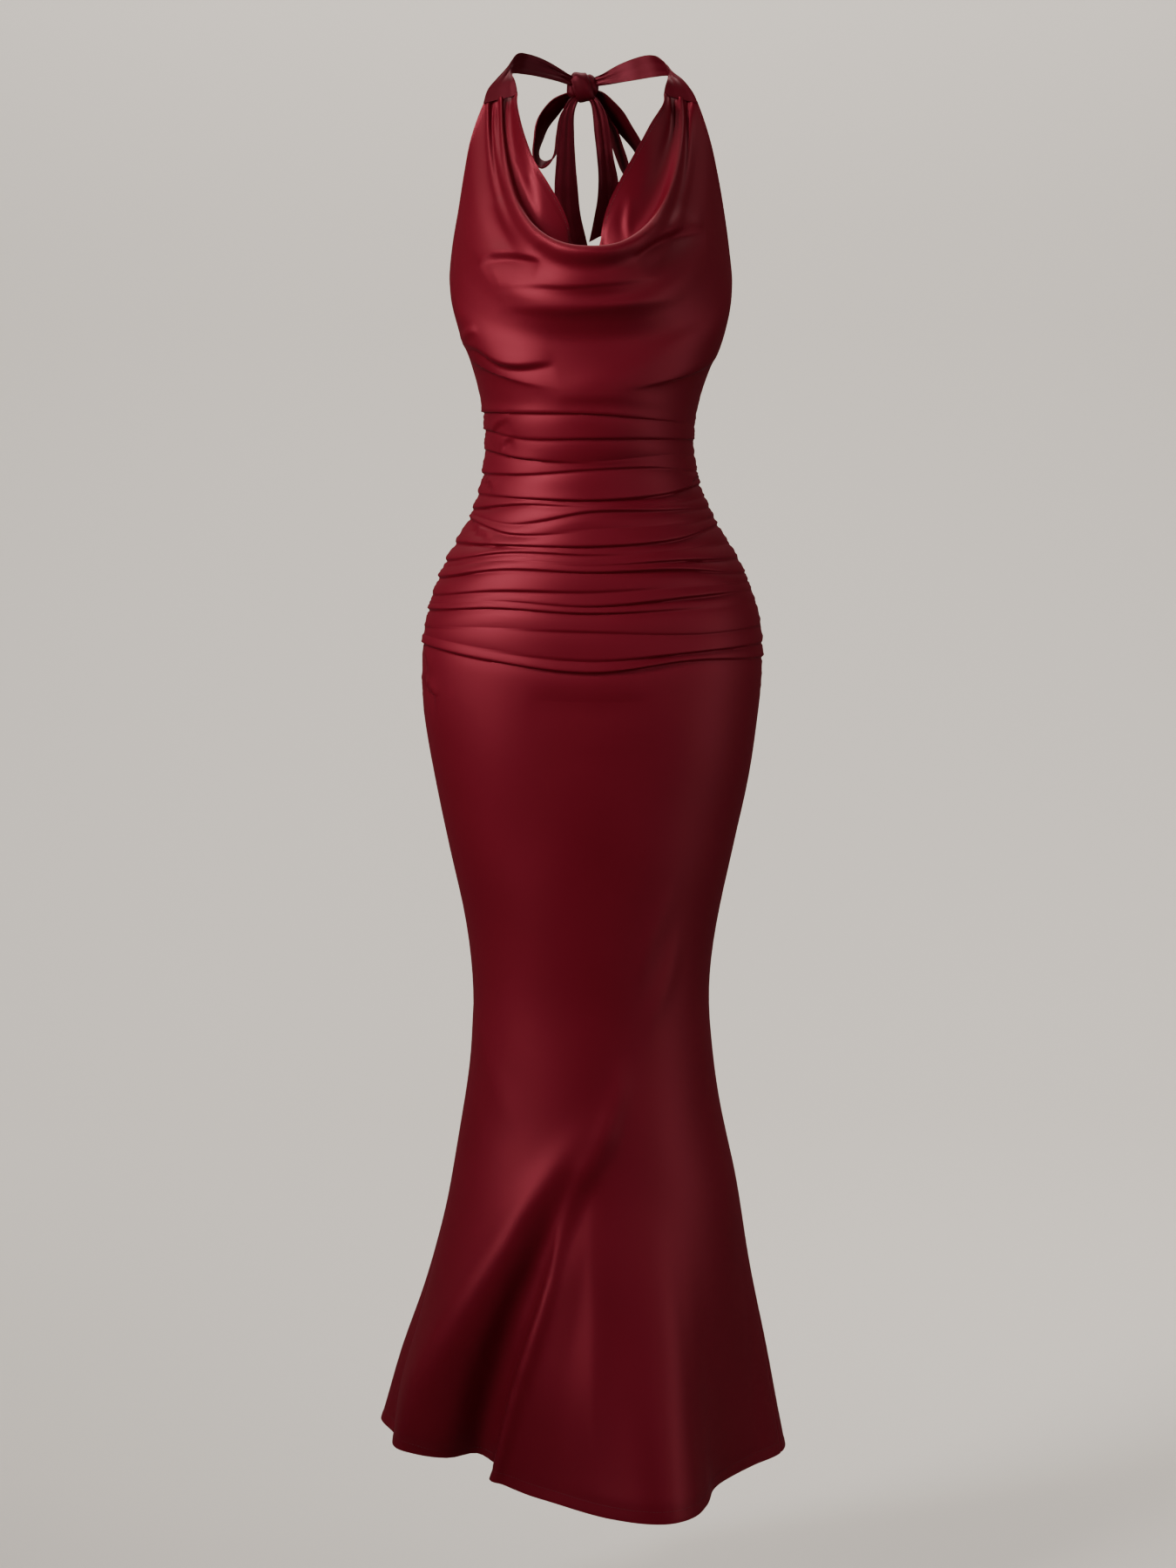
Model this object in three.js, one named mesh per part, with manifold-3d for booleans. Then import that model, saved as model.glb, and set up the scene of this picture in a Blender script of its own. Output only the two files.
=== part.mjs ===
// Halter mermaid gown of stretch satin, filled out and open at neck, arms, back and hem.
// Millimetres. Seen from the front, +X is to the right; -Y is the front and +Z is up.
// The origin is the nape: the neck side of the knot that holds the gown up.

import * as THREE from 'three';
import { mergeVertices } from 'three/addons/utils/BufferGeometryUtils.js';
import Module from 'manifold-3d';

const wasm = await Module();
wasm.setup();

// Driving sizes
const WALL = 1.5;              // the doubled edge and its gathers, as one cloth wall
const SEAM_GAP = 0.3;          // between two sewn pieces
const SIDE_PLANE = -85;        // y of both side seams
const SHOULDER_PLANE = -74;    // y of the gathered seams under the neck ties
const SEAM_TOP = -21;          // height of the gathered seams
const SEAM_SLANT = 8;          // how much higher those seams are at the neck edge
const SEAM_INNER = 73;         // where the neck edge meets a tie
const SEAM_OUTER = 106;        // where the arm edge meets a tie
const UNDERARM = -264;         // top of the side seams
const NECK_PULL = 0.46;        // share of the seam over which the neck edge pulls the cloth
const BACK_DIP = 71;           // how far the back edge scoops below the underarms
const HEM = -1402;             // hem at the right side seam
const FLARE_TOP = -1090;       // where the skirt starts to flute
const FLARE_EASE = 1.38;       // how slowly the flutes open
const HEM_RADIUS = { side: 213, front: 205, back: 205 };
const FRONT_STEPS = 24;        // columns of faces across the front
const BACK_STEPS = 18;         // columns of faces across the back
const FOLD_SINK = 1.7;         // how far a ruching crease is drawn in
const FOLD_SWELL = 0.22;       // height of a puff as a share of its width
const PUFF_SPAN = 24;          // widest puff that still swells more with its width
const SEAM_CALM = 0.5;         // share of a fold that the side seams hold flat
const STATIONS = [-1, -0.6, 0, 0.6, 1];   // places across a panel where heights are given

const COLOURS = { face: 0x5a0612, dark: 0x43040d };

// One object for each row, with the given column names
function table(names, rows) {
  return rows.map((row) => Object.fromEntries(names.map((name, i) => [name, row[i]])));
}

// Half widths left and right of the middle, and depths in front of and behind the side seams
const OUTLINE = table(['height', 'left', 'right', 'front', 'back'], [
  [-21, 106, 106, 90, 60],
  [-45, 116, 115, 104, 70],
  [-75, 123, 123, 116, 80],
  [-105, 129, 129, 122, 86],
  [-145, 135, 136, 126, 90],
  [-180, 140, 140, 128, 92],
  [-205, 140, 141, 130, 93],
  [-230, 135, 137, 128, 92],
  [-264, 126, 128, 122, 90],
  [-307, 113, 112, 108, 86],
  [-350, 106, 103, 102, 84],
  [-394, 109, 108, 94, 92],
  [-438, 124, 127, 98, 106],
  [-482, 148, 152, 103, 118],
  [-525, 164, 168, 107, 125],
  [-570, 171, 174, 110, 127],
  [-614, 170, 172, 110, 125],
  [-680, 162, 163, 109, 119],
  [-747, 148, 150, 107, 112],
  [-837, 129, 130, 105, 105],
  [-927, 120, 121, 105, 105],
  [-1018, 128, 131, 112, 112],
  [-1109, 143, 149, 126, 128],
  [-1201, 163, 167, 148, 150],
  [-1293, 189, 187, 174, 176],
  [-1402, 213, 213, 205, 205],
]);

// Rows of the draped neck: share of the gathered seam used, height at the arm edge, height and
// reach in the middle, roundness of the hang, and lift of the gather at the seam
const SWAGS = table(['seam', 'side', 'middle', 'reach', 'round', 'gather'], [
  [0.00, -21, -187, 78, 1.15, 0.0],
  [0.12, -21, -199, 88, 1.35, -3.5],
  [0.25, -21, -206, 99, 1.6, -8.0],
  [0.36, -21, -190, 110, 2.0, -3.0],
  [0.46, -21, -174, 117, 2.3, 3.0],
  [0.54, -21, -170, 122, 2.4, 2.4],
  [0.63, -21, -177, 126, 2.4, -0.6],
  [0.74, -21, -190, 120, 2.4, -1.8],
  [0.87, -21, -200, 119, 2.5, 1.4],
  [1.00, -21, -208, 118.5, 2.6, -0.4],
  [1.00, -56, -217, 116, 2.6, 0.0],
  [1.00, -92, -228, 115, 2.6, 0.0],
  [1.00, -130, -243, 107, 2.6, 0.0],
  [1.00, -166, -258, 102, 2.5, 0.0],
  [1.00, -200, -273, 102.5, 2.4, 0.0],
  [1.00, -233, -289, 104.5, 2.3, 0.0],
  [1.00, -264, -304, 106.5, 2.2, 0.0],
]);

// Neck edge seen from the front: half widths of the opening left and right of the middle
const NECK_EDGE = table(['height', 'left', 'right'], [
  [-13, 73, 73], [-25, 73, 72], [-45, 69, 60], [-65, 63, 49.5], [-85, 55, 38.5],
  [-105, 42.5, 27.5], [-125, 31, 18], [-145, 22.5, 12], [-165, 18, 9], [-187, 0, 0],
]);

// Creases of the ruching: heights at the five stations of the front, height in the middle of
// the back, and how deep each one is at the left seam, in the middle and at the right seam
const RUCHES = table(
  ['left', 'inLeft', 'middle', 'inRight', 'right', 'back', 'deepLeft', 'deepMiddle', 'deepRight'], [
    [-328, -329, -330, -334, -340, -362, 0.7, 0.5, 0.7],
    [-345, -353, -354, -354, -355, -377, 0.9, 0.5, 0.6],
    [-364, -372, -376, -372, -370, -391, 0.8, 0.4, 0.4],
    [-389, -388, -387, -386, -386, -408, 0.8, 0.6, 0.7],
    [-409, -412, -411, -406, -400, -424, 0.8, 0.7, 0.9],
    [-421, -423, -425, -422, -415, -437, 0.7, 0.6, 0.6],
    [-435, -442, -441, -438, -429, -451, 0.9, 0.5, 0.5],
    [-457, -456, -456, -451, -443, -464, 0.9, 0.8, 0.9],
    [-475, -467, -470, -466, -461, -479, 0.8, 0.5, 0.7],
    [-492, -484, -485, -481, -478, -493, 0.9, 0.9, 0.8],
    [-509, -502, -503, -498, -493, -510, 0.9, 0.6, 0.5],
    [-524, -520, -522, -515, -508, -524, 0.9, 0.8, 0.9],
    [-541, -537, -540, -538, -532, -541, 0.6, 0.5, 0.7],
    [-552, -557, -562, -559, -553, -561, 0.6, 0.6, 0.8],
    [-565, -576, -583, -577, -572, -580, 1.0, 1.0, 1.0],
    [-607, -608, -611, -609, -606, -612, 0.5, 0.2, 0.4],
    [-660, -664, -668, -666, -657, -668, 0.4, 0.0, 0.2],
  ]);

// Plain rows of the bust above the ruching and of the skirt below it
const BUST_ROWS = table(['left', 'middle', 'right', 'back'], [
  [-286, -313, -287, -343],
  [-307, -321, -312, -352],
]);
const SKIRT_ROWS = [-712, -768, -828, -884, -930, -978, -1026, -1070, -1106, -1140, -1174, -1208,
  -1242, -1276, -1310, -1344, -1370, HEM];

// Flutes of the hem all round: bearing from the front in degrees, positive to the right, with
// distance from the middle of the skirt and height there
const FLUTES = table(['bearing', 'radius', 'height'], [
  [-180, 168, -1396], [-158, 214, -1398], [-138, 168, -1393], [-121, 190, -1387],
  [-105, 233, -1381], [-90, 208, -1384], [-80, 207, -1385], [-73, 186, -1387], [-68, 160, -1389],
  [-63, 132, -1391], [-57, 116, -1392], [-50, 118, -1394], [-44, 147, -1397], [-36, 148, -1399],
  [-24, 154, -1402], [-9, 168, -1405], [6, 200, -1408], [18, 222, -1409], [27, 215, -1409],
  [35, 195, -1408], [46, 168, -1406], [60, 160, -1406], [76, 172, -1405], [90, 199, -1404],
  [102, 206, -1402], [122, 182, -1399], [140, 213, -1397], [160, 189, -1396], [180, 168, -1396],
]);

// How far the flutes left of the middle are gathered towards it, from knee to hem
const FAN = table(['height', 'fan'], [
  [-930, 1], [-1040, 2.2], [-1098, 3.6], [-1156, 3.85], [-1210, 2.8], [-1255, 2.15], [-1309, 1.58],
  [-1376, 1.18], [HEM, 1],
]);

// Neck ties from the gathered seam over the shoulder to the knot: outer and inner edge
const TIE_LEFT = table(['ax', 'ay', 'az', 'bx', 'by', 'bz'], [
  [-106, -74, -20.7, -73, -75, -12.7], [-103, -72.5, -10, -74, -74.5, -6],
  [-93.5, -66, 2, -76, -70, 1], [-82, -56, 16, -79, -62, 5], [-74, -44, 28.5, -79, -50, 8.5],
  [-64, -28, 30, -69, -34, 9.5], [-47, -14, 25.5, -51, -18, 8.5], [-33, -2, 18.5, -34, -5, 6],
  [-20, 4, 12.5, -20, 3, 3], [-12, 8, 9.5, -12, 7, 2],
]);
const TIE_RIGHT = table(['ax', 'ay', 'az', 'bx', 'by', 'bz'], [
  [106, -74, -20.7, 73, -75, -12.7], [101.5, -72.5, -12, 74, -74.5, -7],
  [92.5, -66, -1, 76, -70, -1], [81, -56, 9.5, 78, -62, 3.5], [72, -44, 22, 79, -50, 6.5],
  [61, -28, 29, 67, -34, 7], [44, -14, 27, 48, -18, 5.5], [27, -3, 21, 29, -6, 3.5],
  [13, 4, 14.5, 13, 3, 2], [4, 8, 11, 4, 7, 1],
]);

// Bow behind the nape: middle line of each band, its half width, how far that is turned to the
// back and how far it is tipped up, in degrees
const BOW_NAMES = ['x', 'y', 'z', 'half', 'turn', 'tip'];
const LOOP_LEFT = table(BOW_NAMES, [
  [-12, 12, -2, 4, 50, 0], [-21, 14, -5, 7, 38, 0], [-31, 16, -12, 10, 32, 0],
  [-41, 17, -24, 11.5, 38, 0], [-49.5, 18, -38, 12, 58, 0], [-54, 18, -51, 12, 69, 2],
  [-56.2, 18, -63, 12, 76, 8], [-54.8, 18, -72, 12, 80, 16], [-49.5, 18, -76.6, 12, 84, 21],
  [-43.2, 18, -74.4, 12, 86, 16], [-38.2, 18, -68, 12, 86, 8], [-35.3, 18, -59, 12, 85, 2],
  [-33.5, 18, -47, 11.5, 84, 0], [-31.5, 17, -35, 10.5, 84, 0], [-27, 16, -24, 8, 84, 0],
  [-19, 14.5, -15, 5, 84, 0], [-10, 12, -9, 3.5, 84, 0],
]);
const LOOP_RIGHT = table(BOW_NAMES, [
  [0, 12, -2, 4, 128, 0], [8, 14, -5, 7, 138, 0], [16, 16, -13, 10, 142, 0],
  [24, 17, -23, 11.5, 140, 0], [32, 18, -36, 12, 138, 0], [41, 18, -49, 12, 128, 0],
  [49, 18, -60, 12, 116, 2], [54.5, 18, -71, 12, 108, 6], [55.5, 18, -82, 12, 102, 12],
  [50, 18, -91, 12, 98, 18], [43, 18, -92, 12, 100, 14], [37.5, 18, -85, 12, 108, 6],
  [33, 18, -74, 12, 114, 2], [28.5, 18, -61, 11.5, 116, 0], [23.5, 17, -46, 10.5, 114, 0],
  [17, 16, -31, 8, 110, 0], [9, 14.5, -19, 5, 106, 0], [-1, 12, -10, 3.5, 100, 0],
]);
const TAIL_LEFT = table(BOW_NAMES, [
  [-10, 9, -7, 5, 4, 0], [-18, 5, -14, 5.5, 8, 0], [-23.5, 3, -28, 7, 14, 0],
  [-24.8, 3, -50, 8.5, 14, 0], [-25.2, 3, -76, 10, 12, 0], [-25, 2, -102, 12, 6, 0],
  [-22.5, 2, -131, 12.5, 4, 0], [-15.6, 2, -165, 12.5, 4, 0],
]);
const TAIL_RIGHT = table(BOW_NAMES, [
  [-1, 9, -7, 5, -4, 0], [5, 5, -16, 5, -6, 0], [9, 3, -28, 7, -10, 0],
  [11.8, 3, -46, 8.2, -12, 0], [15, 3, -70, 8.4, -12, 0], [17.8, 3, -92, 10, -8, 0],
  [18.5, 2, -114, 12, -6, 0], [15, 2, -133, 12.2, -4, 0], [10.4, 2, -150, 12.2, -4, 0],
]);
const TAIL_SLANT = 12;         // how much lower the cut end of a tail is at its left corner
const KNOT = { x: -8.5, y: 10.8, z: 1, halfX: 18.5, halfY: 10.8, halfZ: 15.5 };
const KNOT_SQUARE = 0.8;       // 1 is an ellipsoid, and less is squarer
const MERGE = 1e-4;            // points closer than this are one
const CROWN = 0.5;             // how far the middle of a band stands up
const BAND_STEPS = 2;          // runs of faces between two rows of a band's table

// Smooth curve through one column of a table
function along(rows, key, column, value) {
  const up = rows[0][key] < rows[rows.length - 1][key];
  const last = rows.length - 1;
  let i = 0;
  while (i < last - 1 && (up ? value > rows[i + 1][key] : value < rows[i + 1][key])) i += 1;
  const slope = (j) => {
    const a = rows[Math.max(0, j - 1)];
    const b = rows[Math.min(last, j + 1)];
    return (b[column] - a[column]) / (b[key] - a[key]);
  };
  const span = rows[i + 1][key] - rows[i][key];
  const t = THREE.MathUtils.clamp((value - rows[i][key]) / span, 0, 1);
  const m0 = slope(i) * span;
  const m1 = slope(i + 1) * span;
  const p0 = rows[i][column];
  const p1 = rows[i + 1][column];
  return p0 + t * m0 + t * t * (3 * (p1 - p0) - 2 * m0 - m1) + t * t * t * (2 * (p0 - p1) + m0 + m1);
}

// Curve through values given at places across a panel
function across(places, values, place) {
  const rows = places.map((at, i) => ({ at, value: values[i] }));
  return along(rows, 'at', 'value', place);
}

// Share of the flutes that has opened at a height
function flare(height) {
  const t = THREE.MathUtils.clamp((FLARE_TOP - height) / (FLARE_TOP - HEM), 0, 1);
  return t ** FLARE_EASE;
}

// Bearing on the hem of the flute that passes a bearing further up
function fluteBearing(bearing, height) {
  if (bearing >= 0 || bearing <= -90) return bearing;
  return -90 * (1 - (1 + bearing / 90) ** along(FAN, 'height', 'fan', height));
}

// Bearing at a height of the flute that ends at a bearing on the hem
function fannedBearing(hemBearing, height) {
  if (hemBearing >= 0) return hemBearing;
  return -90 * (1 - (1 + hemBearing / 90) ** (1 / along(FAN, 'height', 'fan', height)));
}

// Point of the skirt or bodice tube at a bearing in degrees from the front
function tubePoint(bearing, height) {
  const angle = THREE.MathUtils.degToRad(bearing);
  const side = bearing < 0 ? 'left' : 'right';
  const facing = Math.abs(bearing) <= 90 ? 'front' : 'back';
  const open = flare(height);
  const looked = fluteBearing(bearing, height);
  const halfWidth = along(OUTLINE, 'height', side, height);
  const depth = along(OUTLINE, 'height', facing, height);
  let x = halfWidth * Math.sin(angle);
  let y = -depth * Math.cos(angle);
  if (open > 0) {
    const plain = Math.hypot(HEM_RADIUS.side * Math.sin(angle), HEM_RADIUS[facing] * Math.cos(angle));
    const grow = 1 + open * (along(FLUTES, 'bearing', 'radius', looked) / plain - 1);
    x *= grow;
    y *= grow;
  }
  return new THREE.Vector3(x, SIDE_PLANE + y, height);
}

// Height of a skirt row, which follows the uneven hem as it comes near to it
function skirtHeight(height, bearing) {
  const open = flare(height);
  const hemHeight = along(FLUTES, 'bearing', 'height', fluteBearing(bearing, height));
  return height + open * (hemHeight - HEM);
}

// How far the neck edge lies sideways of its plain curve at a place
function neckPull(place) {
  const row = SWAGS[0];
  const share = Math.abs(Math.sin(place * Math.PI / 2));
  const top = row.side + SEAM_SLANT;
  const height = top + (row.middle - top) * (1 - share ** row.round) ** (1 / row.round);
  const edge = along(NECK_EDGE, 'height', place < 0 ? 'left' : 'right', height);
  return Math.sign(place) * (edge - SEAM_INNER * share);
}

// One row of the draped neck, from the left end (-1) to the right end (1)
function swagPoint(row, place) {
  const angle = place * Math.PI / 2;
  const sine = Math.sin(angle);
  const share = Math.abs(sine);
  const seamX = SEAM_INNER + row.seam * (SEAM_OUTER - SEAM_INNER);
  const side = place < 0 ? 'left' : 'right';
  const endX = row.seam < 1 || row.side === SEAM_TOP ? seamX : along(OUTLINE, 'height', side, row.side);
  const top = row.side + SEAM_SLANT * (1 - row.seam);
  const lower = (SEAM_TOP - row.side) / (SEAM_TOP - UNDERARM);
  const endY = SHOULDER_PLANE + lower * (SIDE_PLANE - SHOULDER_PLANE);
  const hang = (1 - share ** row.round) ** (1 / row.round);
  const gatherShare = Math.max(0, share - 0.6) / 0.4;
  const y = endY + (SIDE_PLANE - row.reach - endY) * Math.cos(angle) - row.gather * gatherShare;
  const pull = neckPull(place) * Math.max(0, 1 - row.seam / NECK_PULL) ** 2;
  return new THREE.Vector3(endX * sine + pull, y, top + (row.middle - top) * hang);
}

// One level row of the front, given its heights at the five stations
function levelPoint(heights, place) {
  const height = across(STATIONS, heights, Math.sin(place * Math.PI / 2));
  const bearing = fannedBearing(place * 90, height);
  return tubePoint(bearing, skirtHeight(height, bearing));
}

// Share of a fold's depth at a place: the side seams hold it flatter
function seamCalm(place) {
  return 1 - SEAM_CALM * place ** 6;
}

// Depth of a ruching crease at a place across
function creaseDepth(ruche, place) {
  const depths = [ruche.deepLeft, ruche.deepMiddle, ruche.deepRight];
  return seamCalm(place) * across([-1, 0, 1], depths, place);
}

// How far a ruching crease is drawn in, and how far the puff below it stands out
function sink(ruche) {
  return (place) => -FOLD_SINK * creaseDepth(ruche, place);
}

function swell(ruche, next, gap) {
  const width = Math.min(PUFF_SPAN, gap);
  return (place) => FOLD_SWELL * width * (creaseDepth(ruche, place) + creaseDepth(next, place)) / 2;
}

// Rows of the front panel from neck edge to hem, as functions of the place across
function frontRows() {
  const rows = SWAGS.map((row) => ({ at: (place) => swagPoint(row, place), fold: () => 0 }));
  const level = (heights, fold) => ({ at: (place) => levelPoint(heights, place), fold });
  for (const row of BUST_ROWS) {
    const heights = [row.left, (row.left + 2 * row.middle) / 3, row.middle,
      (row.right + 2 * row.middle) / 3, row.right];
    rows.push(level(heights, () => 0));
  }
  const heightsOf = (ruche) => [ruche.left, ruche.inLeft, ruche.middle, ruche.inRight, ruche.right];
  RUCHES.forEach((ruche, i) => {
    rows.push(level(heightsOf(ruche), sink(ruche)));
    const next = RUCHES[i + 1];
    if (!next) return;
    const below = heightsOf(next);
    const between = heightsOf(ruche).map((height, j) => (height + below[j]) / 2);
    rows.push(level(between, swell(ruche, next, ruche.middle - next.middle)));
  });
  for (const height of SKIRT_ROWS) {
    rows.push(level(STATIONS.map(() => height), () => 0));
  }
  return rows;
}

// Rows of the back panel from its scooped edge to the hem
function backRows() {
  const rows = [];
  const scooped = (left, middle, right, fold) => ({
    at: (place) => {
      const bearing = place >= 0 ? 90 + (1 - place) * 90 : -90 - (1 + place) * 90;
      const sine = place < 0 ? -Math.sin(-place * Math.PI / 2) : Math.sin(place * Math.PI / 2);
      const seamHeight = (left + right) / 2 + sine * (right - left) / 2;
      const mean = (left + right) / 2;
      const height = seamHeight + (middle - mean) * (1 - sine * sine);
      return tubePoint(bearing, skirtHeight(height, bearing));
    },
    fold,
  });
  rows.push(scooped(UNDERARM, UNDERARM - BACK_DIP, UNDERARM, () => 0));
  for (const row of BUST_ROWS) rows.push(scooped(row.left, row.back, row.right, () => 0));
  RUCHES.forEach((ruche, i) => {
    rows.push(scooped(ruche.left, ruche.back, ruche.right, sink(ruche)));
    const next = RUCHES[i + 1];
    if (!next) return;
    rows.push(scooped((ruche.left + next.left) / 2, (ruche.back + next.back) / 2,
      (ruche.right + next.right) / 2, swell(ruche, next, ruche.back - next.back)));
  });
  for (const height of SKIRT_ROWS) rows.push(scooped(height, height, height, () => 0));
  return rows;
}

// Grid of points of a panel, with its folds raised along the outward normals
function panelGrid(rows, steps) {
  const places = Array.from({ length: steps + 1 }, (_, j) => -1 + 2 * j / steps);
  const plain = rows.map((row) => places.map((place) => row.at(place)));
  const normals = gridNormals(plain);
  return plain.map((line, i) => line.map((point, j) =>
    point.clone().addScaledVector(normals[i][j], rows[i].fold(places[j]))));
}

// Outward normal at each point of a grid whose rows run left to right and go down
function gridNormals(grid) {
  const last = grid.length - 1;
  const end = grid[0].length - 1;
  return grid.map((line, i) => line.map((point, j) => {
    const wide = grid[i][Math.min(end, j + 1)].clone().sub(grid[i][Math.max(0, j - 1)]);
    const down = grid[Math.min(last, i + 1)][j].clone().sub(grid[Math.max(0, i - 1)][j]);
    return down.cross(wide).normalize();
  }));
}

// Closed wall from a grid of outer points and the matching inner points
function wallGeometry(outer, inner) {
  const height = outer.length;
  const width = outer[0].length;
  const positions = [];
  for (const grid of [outer, inner]) {
    for (const line of grid) for (const p of line) positions.push(p.x, p.y, p.z);
  }
  const out = (i, j) => i * width + j;
  const inn = (i, j) => height * width + i * width + j;
  const faces = [];
  const quad = (a, b, c, d) => faces.push(a, b, c, a, c, d);
  for (let i = 0; i < height - 1; i += 1) {
    for (let j = 0; j < width - 1; j += 1) {
      quad(out(i, j), out(i + 1, j), out(i + 1, j + 1), out(i, j + 1));
      quad(inn(i, j), inn(i, j + 1), inn(i + 1, j + 1), inn(i + 1, j));
    }
    quad(out(i, 0), inn(i, 0), inn(i + 1, 0), out(i + 1, 0));
    quad(out(i, width - 1), out(i + 1, width - 1), inn(i + 1, width - 1), inn(i, width - 1));
  }
  for (let j = 0; j < width - 1; j += 1) {
    quad(out(0, j), out(0, j + 1), inn(0, j + 1), inn(0, j));
    quad(out(height - 1, j), inn(height - 1, j), inn(height - 1, j + 1), out(height - 1, j + 1));
  }
  const geometry = new THREE.BufferGeometry();
  geometry.setAttribute('position', new THREE.Float32BufferAttribute(positions, 3));
  geometry.setIndex(faces);
  geometry.computeVertexNormals();
  return geometry;
}

// Panel wall: its side edges lie square to the seam plane, half a seam gap away from it
function panelGeometry(rows, steps, seamSide) {
  const outer = panelGrid(rows, steps);
  const normals = gridNormals(outer);
  const end = outer[0].length - 1;
  const inner = outer.map((line, i) => line.map((point, j) => {
    const normal = normals[i][j].clone();
    if (j === 0 || j === end) {
      normal.y = 0;
      normal.normalize();
    }
    return point.clone().addScaledVector(normal, -WALL);
  }));
  for (const grid of [outer, inner]) {
    for (const line of grid) {
      for (const j of [0, end]) line[j].y += seamSide * SEAM_GAP / 2;
    }
  }
  return wallGeometry(outer, inner);
}

// Points of a flat band, three across, from rows that give its two edges
function bandGeometry(edges, thick) {
  const outer = [];
  const inner = [];
  edges.forEach(([a, b], i) => {
    const ahead = edges[Math.min(edges.length - 1, i + 1)];
    const behind = edges[Math.max(0, i - 1)];
    const run = ahead[0].clone().add(ahead[1]).sub(behind[0]).sub(behind[1]);
    const wide = b.clone().sub(a);
    const normal = run.cross(wide).normalize();
    const middle = a.clone().add(b).multiplyScalar(0.5);
    const lift = (p, amount) => p.clone().addScaledVector(normal, amount);
    outer.push([lift(a, thick / 2), lift(middle, thick / 2 + CROWN), lift(b, thick / 2)]);
    inner.push([lift(a, -thick / 2), lift(middle, -thick / 2 + CROWN), lift(b, -thick / 2)]);
  });
  return wallGeometry(outer, inner);
}

// Smooth run of rows of a table, with extra rows between those given
function smoothRows(rows, between) {
  const indexed = rows.map((row, i) => ({ ...row, index: i }));
  const names = Object.keys(rows[0]);
  const count = (rows.length - 1) * between;
  return Array.from({ length: count + 1 }, (_, k) => Object.fromEntries(
    names.map((name) => [name, along(indexed, 'index', name, k / between)])));
}

// Neck tie from a table of its two edges
function tieGeometry(rows, mirrored) {
  const edges = smoothRows(rows, BAND_STEPS).map((row) => {
    const a = new THREE.Vector3(row.ax, row.ay, row.az);
    const b = new THREE.Vector3(row.bx, row.by, row.bz);
    return mirrored ? [b, a] : [a, b];
  });
  return bandGeometry(edges, WALL);
}

// Band of the bow from a table of its middle line
function bowGeometry(rows, slant) {
  const smooth = smoothRows(rows, BAND_STEPS);
  const last = smooth.length - 1;
  const edges = smooth.map((row, i) => {
    const turn = THREE.MathUtils.degToRad(row.turn);
    const tip = THREE.MathUtils.degToRad(row.tip);
    const half = new THREE.Vector3(Math.cos(turn) * Math.cos(tip), Math.sin(turn) * Math.cos(tip),
      Math.sin(tip)).multiplyScalar(row.half);
    const middle = new THREE.Vector3(row.x, row.y, row.z);
    const a = middle.clone().sub(half);
    const b = middle.clone().add(half);
    if (i === last) {
      a.z -= slant / 2;
      b.z += slant / 2;
    }
    return [a, b];
  });
  return bandGeometry(edges, WALL);
}

// Rounded knot with flattened faces, grown all round by a margin
function knotGeometry(margin) {
  const geometry = new THREE.SphereGeometry(1, 16, 10);
  const position = geometry.getAttribute('position');
  for (let i = 0; i < position.count; i += 1) {
    const p = new THREE.Vector3().fromBufferAttribute(position, i);
    const shape = (value) => Math.sign(value) * Math.abs(value) ** KNOT_SQUARE;
    position.setXYZ(i, KNOT.x + (KNOT.halfX + margin) * shape(p.x),
      KNOT.y + (KNOT.halfY + margin) * shape(p.y), KNOT.z + (KNOT.halfZ + margin) * shape(p.z));
  }
  geometry.deleteAttribute('normal');
  geometry.deleteAttribute('uv');
  return mergeVertices(geometry, MERGE);
}

// Solid of a closed geometry, for cutting
function solidOf(geometry) {
  const bare = new THREE.BufferGeometry();
  bare.setAttribute('position', geometry.getAttribute('position'));
  bare.setIndex(geometry.index);
  const merged = mergeVertices(bare, MERGE);
  return new wasm.Manifold(new wasm.Mesh({
    numProp: 3,
    vertProperties: new Float32Array(merged.getAttribute('position').array),
    triVerts: new Uint32Array(merged.index.array),
  }));
}

// A band that runs into the knot, cut off just clear of it
function endAtKnot(geometry) {
  const cut = solidOf(geometry).subtract(solidOf(knotGeometry(SEAM_GAP))).getMesh();
  const trimmed = new THREE.BufferGeometry();
  trimmed.setAttribute('position', new THREE.BufferAttribute(new Float32Array(cut.vertProperties), 3));
  trimmed.setIndex(Array.from(cut.triVerts));
  return trimmed;
}

// The back is walked right to left, so that its normals also point away from the body
function mirrorRow(row) {
  return { at: (place) => row.at(-place), fold: (place) => row.fold(-place) };
}

function piece(name, geometry, colour) {
  const material = new THREE.MeshStandardMaterial({ color: colour, roughness: 0.38, metalness: 0 });
  const mesh = new THREE.Mesh(geometry, material);
  mesh.name = name;
  return mesh;
}

const frontPanel = panelGeometry(frontRows(), FRONT_STEPS, -1);
const backPanel = panelGeometry(backRows().map(mirrorRow), BACK_STEPS, 1);
const bands = {
  tie_left: tieGeometry(TIE_LEFT, false),
  tie_right: tieGeometry(TIE_RIGHT, true),
  loop_left: bowGeometry(LOOP_LEFT, 0),
  loop_right: bowGeometry(LOOP_RIGHT, 0),
  tail_left: bowGeometry(TAIL_LEFT, TAIL_SLANT),
  tail_right: bowGeometry(TAIL_RIGHT, TAIL_SLANT),
};

const group = new THREE.Group();
group.add(piece('front_panel', frontPanel, COLOURS.face));
group.add(piece('back_panel', backPanel, COLOURS.face));
group.add(piece('knot', knotGeometry(0), COLOURS.dark));
for (const [name, band] of Object.entries(bands)) {
  group.add(piece(name, endAtKnot(band), COLOURS.dark));
}

export default group;
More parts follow.
